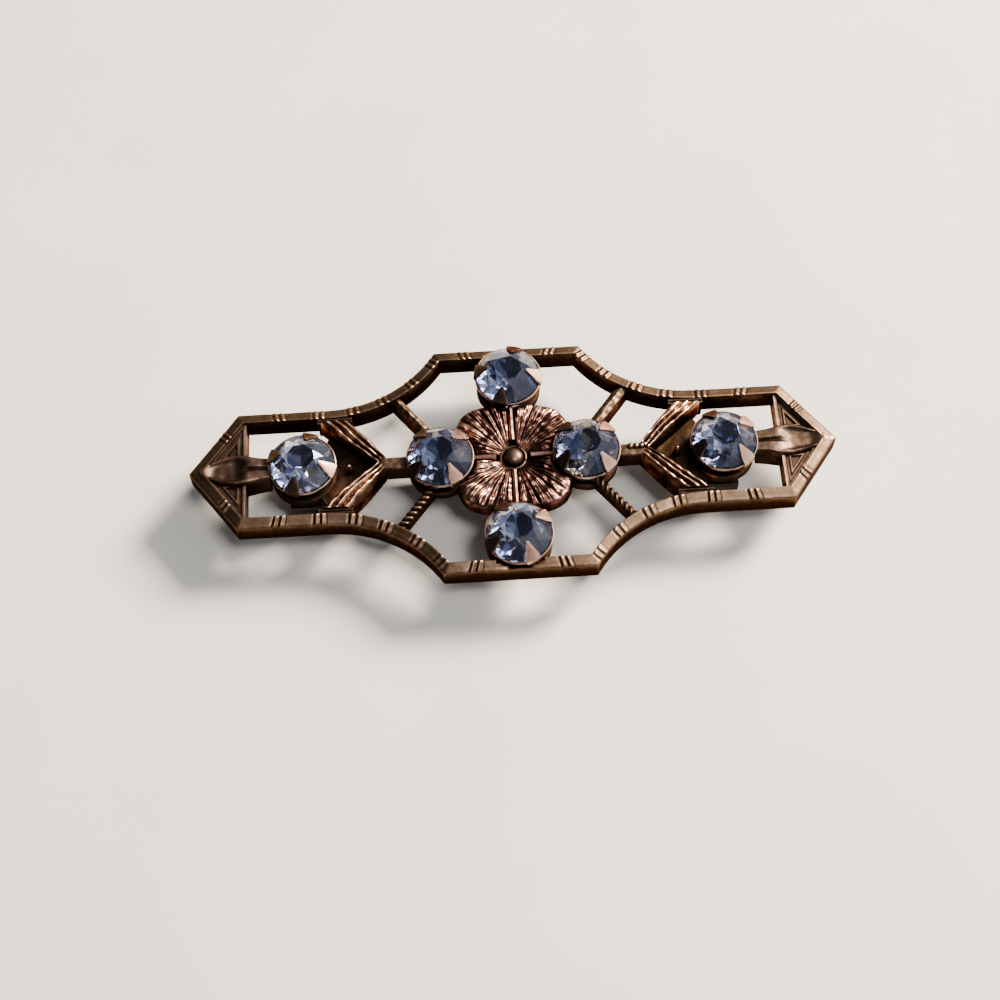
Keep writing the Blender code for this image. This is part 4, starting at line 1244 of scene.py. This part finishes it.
def flower_hub():
    """Shank, plain ring and bead, turned in one."""
    high = PETAL_BACK + HUB_HEIGHT
    profile = [
        (0.0, BACK),
        (SHANK_RADIUS, BACK),
        (SHANK_RADIUS, PETAL_BACK),
        (HUB_RADIUS - 0.00012, PETAL_BACK),
        (HUB_RADIUS, high - 0.00020),
        (HUB_RADIUS, high - 0.00010),
        (HUB_RADIUS - 0.00005, high - 0.00002),
        (HUB_RADIUS - 0.00013, high),
        (HUB_RADIUS - 0.00021, high - 0.00004),
        (BEAD_RADIUS, high - 0.00016),
    ]
    for step in range(1, BEAD_STEPS):
        angle = math.pi / 2 * step / BEAD_STEPS
        rise = (BEAD_HEIGHT + 0.00006) * math.sin(angle)
        profile.append((BEAD_RADIUS * math.cos(angle), high - 0.00008 + rise))
    profile.append((0.0, high + BEAD_HEIGHT - 0.00002))
    return turned(profile)


def petal_painted_light(point):
    """Painted light on the petals' rubbed ribs: the lower left petal is brightest, the lower right one
    darkest.
    """
    return PETAL_PAINTED_LIGHT[(point.x > 0, point.y > 0)]


def centre_flower():
    """Four petals and the bead that holds them."""
    petals = joined([petal(side, up) for side, up in QUARTERS])
    finish_piece("ribbed_petals", petals, [FLOWER_BRASS], "centre_flower", rubbed=petal_painted_light)
    finish_piece("hub_and_bead", flower_hub(), [SHADED_SUNKEN_BRASS], "centre_flower")


def place_camera():
    """The photograph's own view of the brooch."""
    right = Vector((math.cos(CAMERA_AZIMUTH), -math.sin(CAMERA_AZIMUTH), 0.0))
    ahead = Vector((
        math.sin(CAMERA_AZIMUTH) * math.cos(CAMERA_ELEVATION),
        math.cos(CAMERA_AZIMUTH) * math.cos(CAMERA_ELEVATION),
        -math.sin(CAMERA_ELEVATION),
    ))
    above = right.cross(ahead)
    across = right * math.cos(CAMERA_ROLL) + above * math.sin(CAMERA_ROLL)
    rise = above * math.cos(CAMERA_ROLL) - right * math.sin(CAMERA_ROLL)
    data = bpy.data.cameras.new("photo_camera")
    data.lens = LENS_MM
    data.sensor_width = SENSOR_MM
    data.clip_start = CAMERA_CLIP
    camera = bpy.data.objects.new("photo_camera", data)
    turn = Matrix((across, rise, -ahead)).transposed().to_4x4()
    camera.matrix_world = Matrix.Translation(CAMERA_AIM - ahead * CAMERA_DISTANCE) @ turn
    bpy.context.scene.collection.objects.link(camera)
    bpy.context.scene.camera = camera


def area_light(name, place, size, power, colour):
    """A soft square light that faces the brooch."""
    data = bpy.data.lights.new(name, "AREA")
    data.size = size
    data.energy = power
    data.color = linear(colour)[:3]
    light = bpy.data.objects.new(name, data)
    light.location = place
    light.rotation_euler = (-Vector(place)).to_track_quat("-Z", "Y").to_euler()
    bpy.context.scene.collection.objects.link(light)


def light_room():
    """A window to the upper right, a small lamp overhead and a dim room with soft bright patches."""
    area_light("window", *WINDOW)
    area_light("overhead", *OVERHEAD)
    world = bpy.data.worlds.new("dim_room")
    bpy.context.scene.world = world
    world.use_nodes = True
    tree = world.node_tree
    way = add_node(tree, "TexCoord", out="Generated")
    patches = add_node(tree, "TexNoise", {"Scale": WALL_PATCH_SCALE, "Detail": 1.0}, {"Vector": way})
    towards = add_node(tree, "VectorMath", {1: WALL_SLOPE}, {0: way}, out="Value", operation="DOT_PRODUCT")
    share = add_node(tree, "Math", links={0: patches, 1: towards}, operation="ADD")
    stops = ((0.40, "#101114"), (0.50, "#2c2f36"), (0.56, "#8a90a0"), (0.62, "#f0f3ff"), (0.8, "#ffffff"))
    colour = add_node(tree, "ValToRGB", links={0: share}, stops=stops)
    seen = add_node(tree, "LightPath", out="Is Camera Ray")
    backdrop = add_node(tree, "MixRGB", {"Color2": linear(BACKDROP)}, {"Fac": seen, "Color1": colour})
    wire(tree, tree.nodes["Background"], {"Strength": 1.0}, {"Color": backdrop})


def lay_floor():
    """A plain floor that is stage only."""
    shape = bmesh.new()
    bmesh.ops.create_grid(shape, x_segments=2, y_segments=2, size=FLOOR_SIZE / 2)
    mesh = bpy.data.meshes.new("floor")
    shape.to_mesh(mesh)
    shape.free()
    mesh.materials.append(floor_paint())
    floor = bpy.data.objects.new("floor", mesh)
    bpy.context.scene.collection.objects.link(floor)


def dress_solids():
    """Give every solid its own finish, also those that a finer piece stands for."""
    finishes = {
        "frame": FRAME_BRASS,
        "flower": FLOWER_BRASS,
        "setting": CLAW_BRASS,
        "stone": PASTE,
        "pin": SHADED_PIN_METAL,
    }
    for node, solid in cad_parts.items():
        solid.data.materials.clear()
        solid.data.materials.append(next(finish for word, finish in finishes.items() if word in node))


place_camera()
light_room()
lay_floor()
rail()
seats()
openwork()
centre_flower()
for setting_name, stone_turn, claw_turns in SETTINGS:
    cut_stone(setting_name, stone_turn)
    claw_setting(setting_name, claw_turns)
dress_solids()
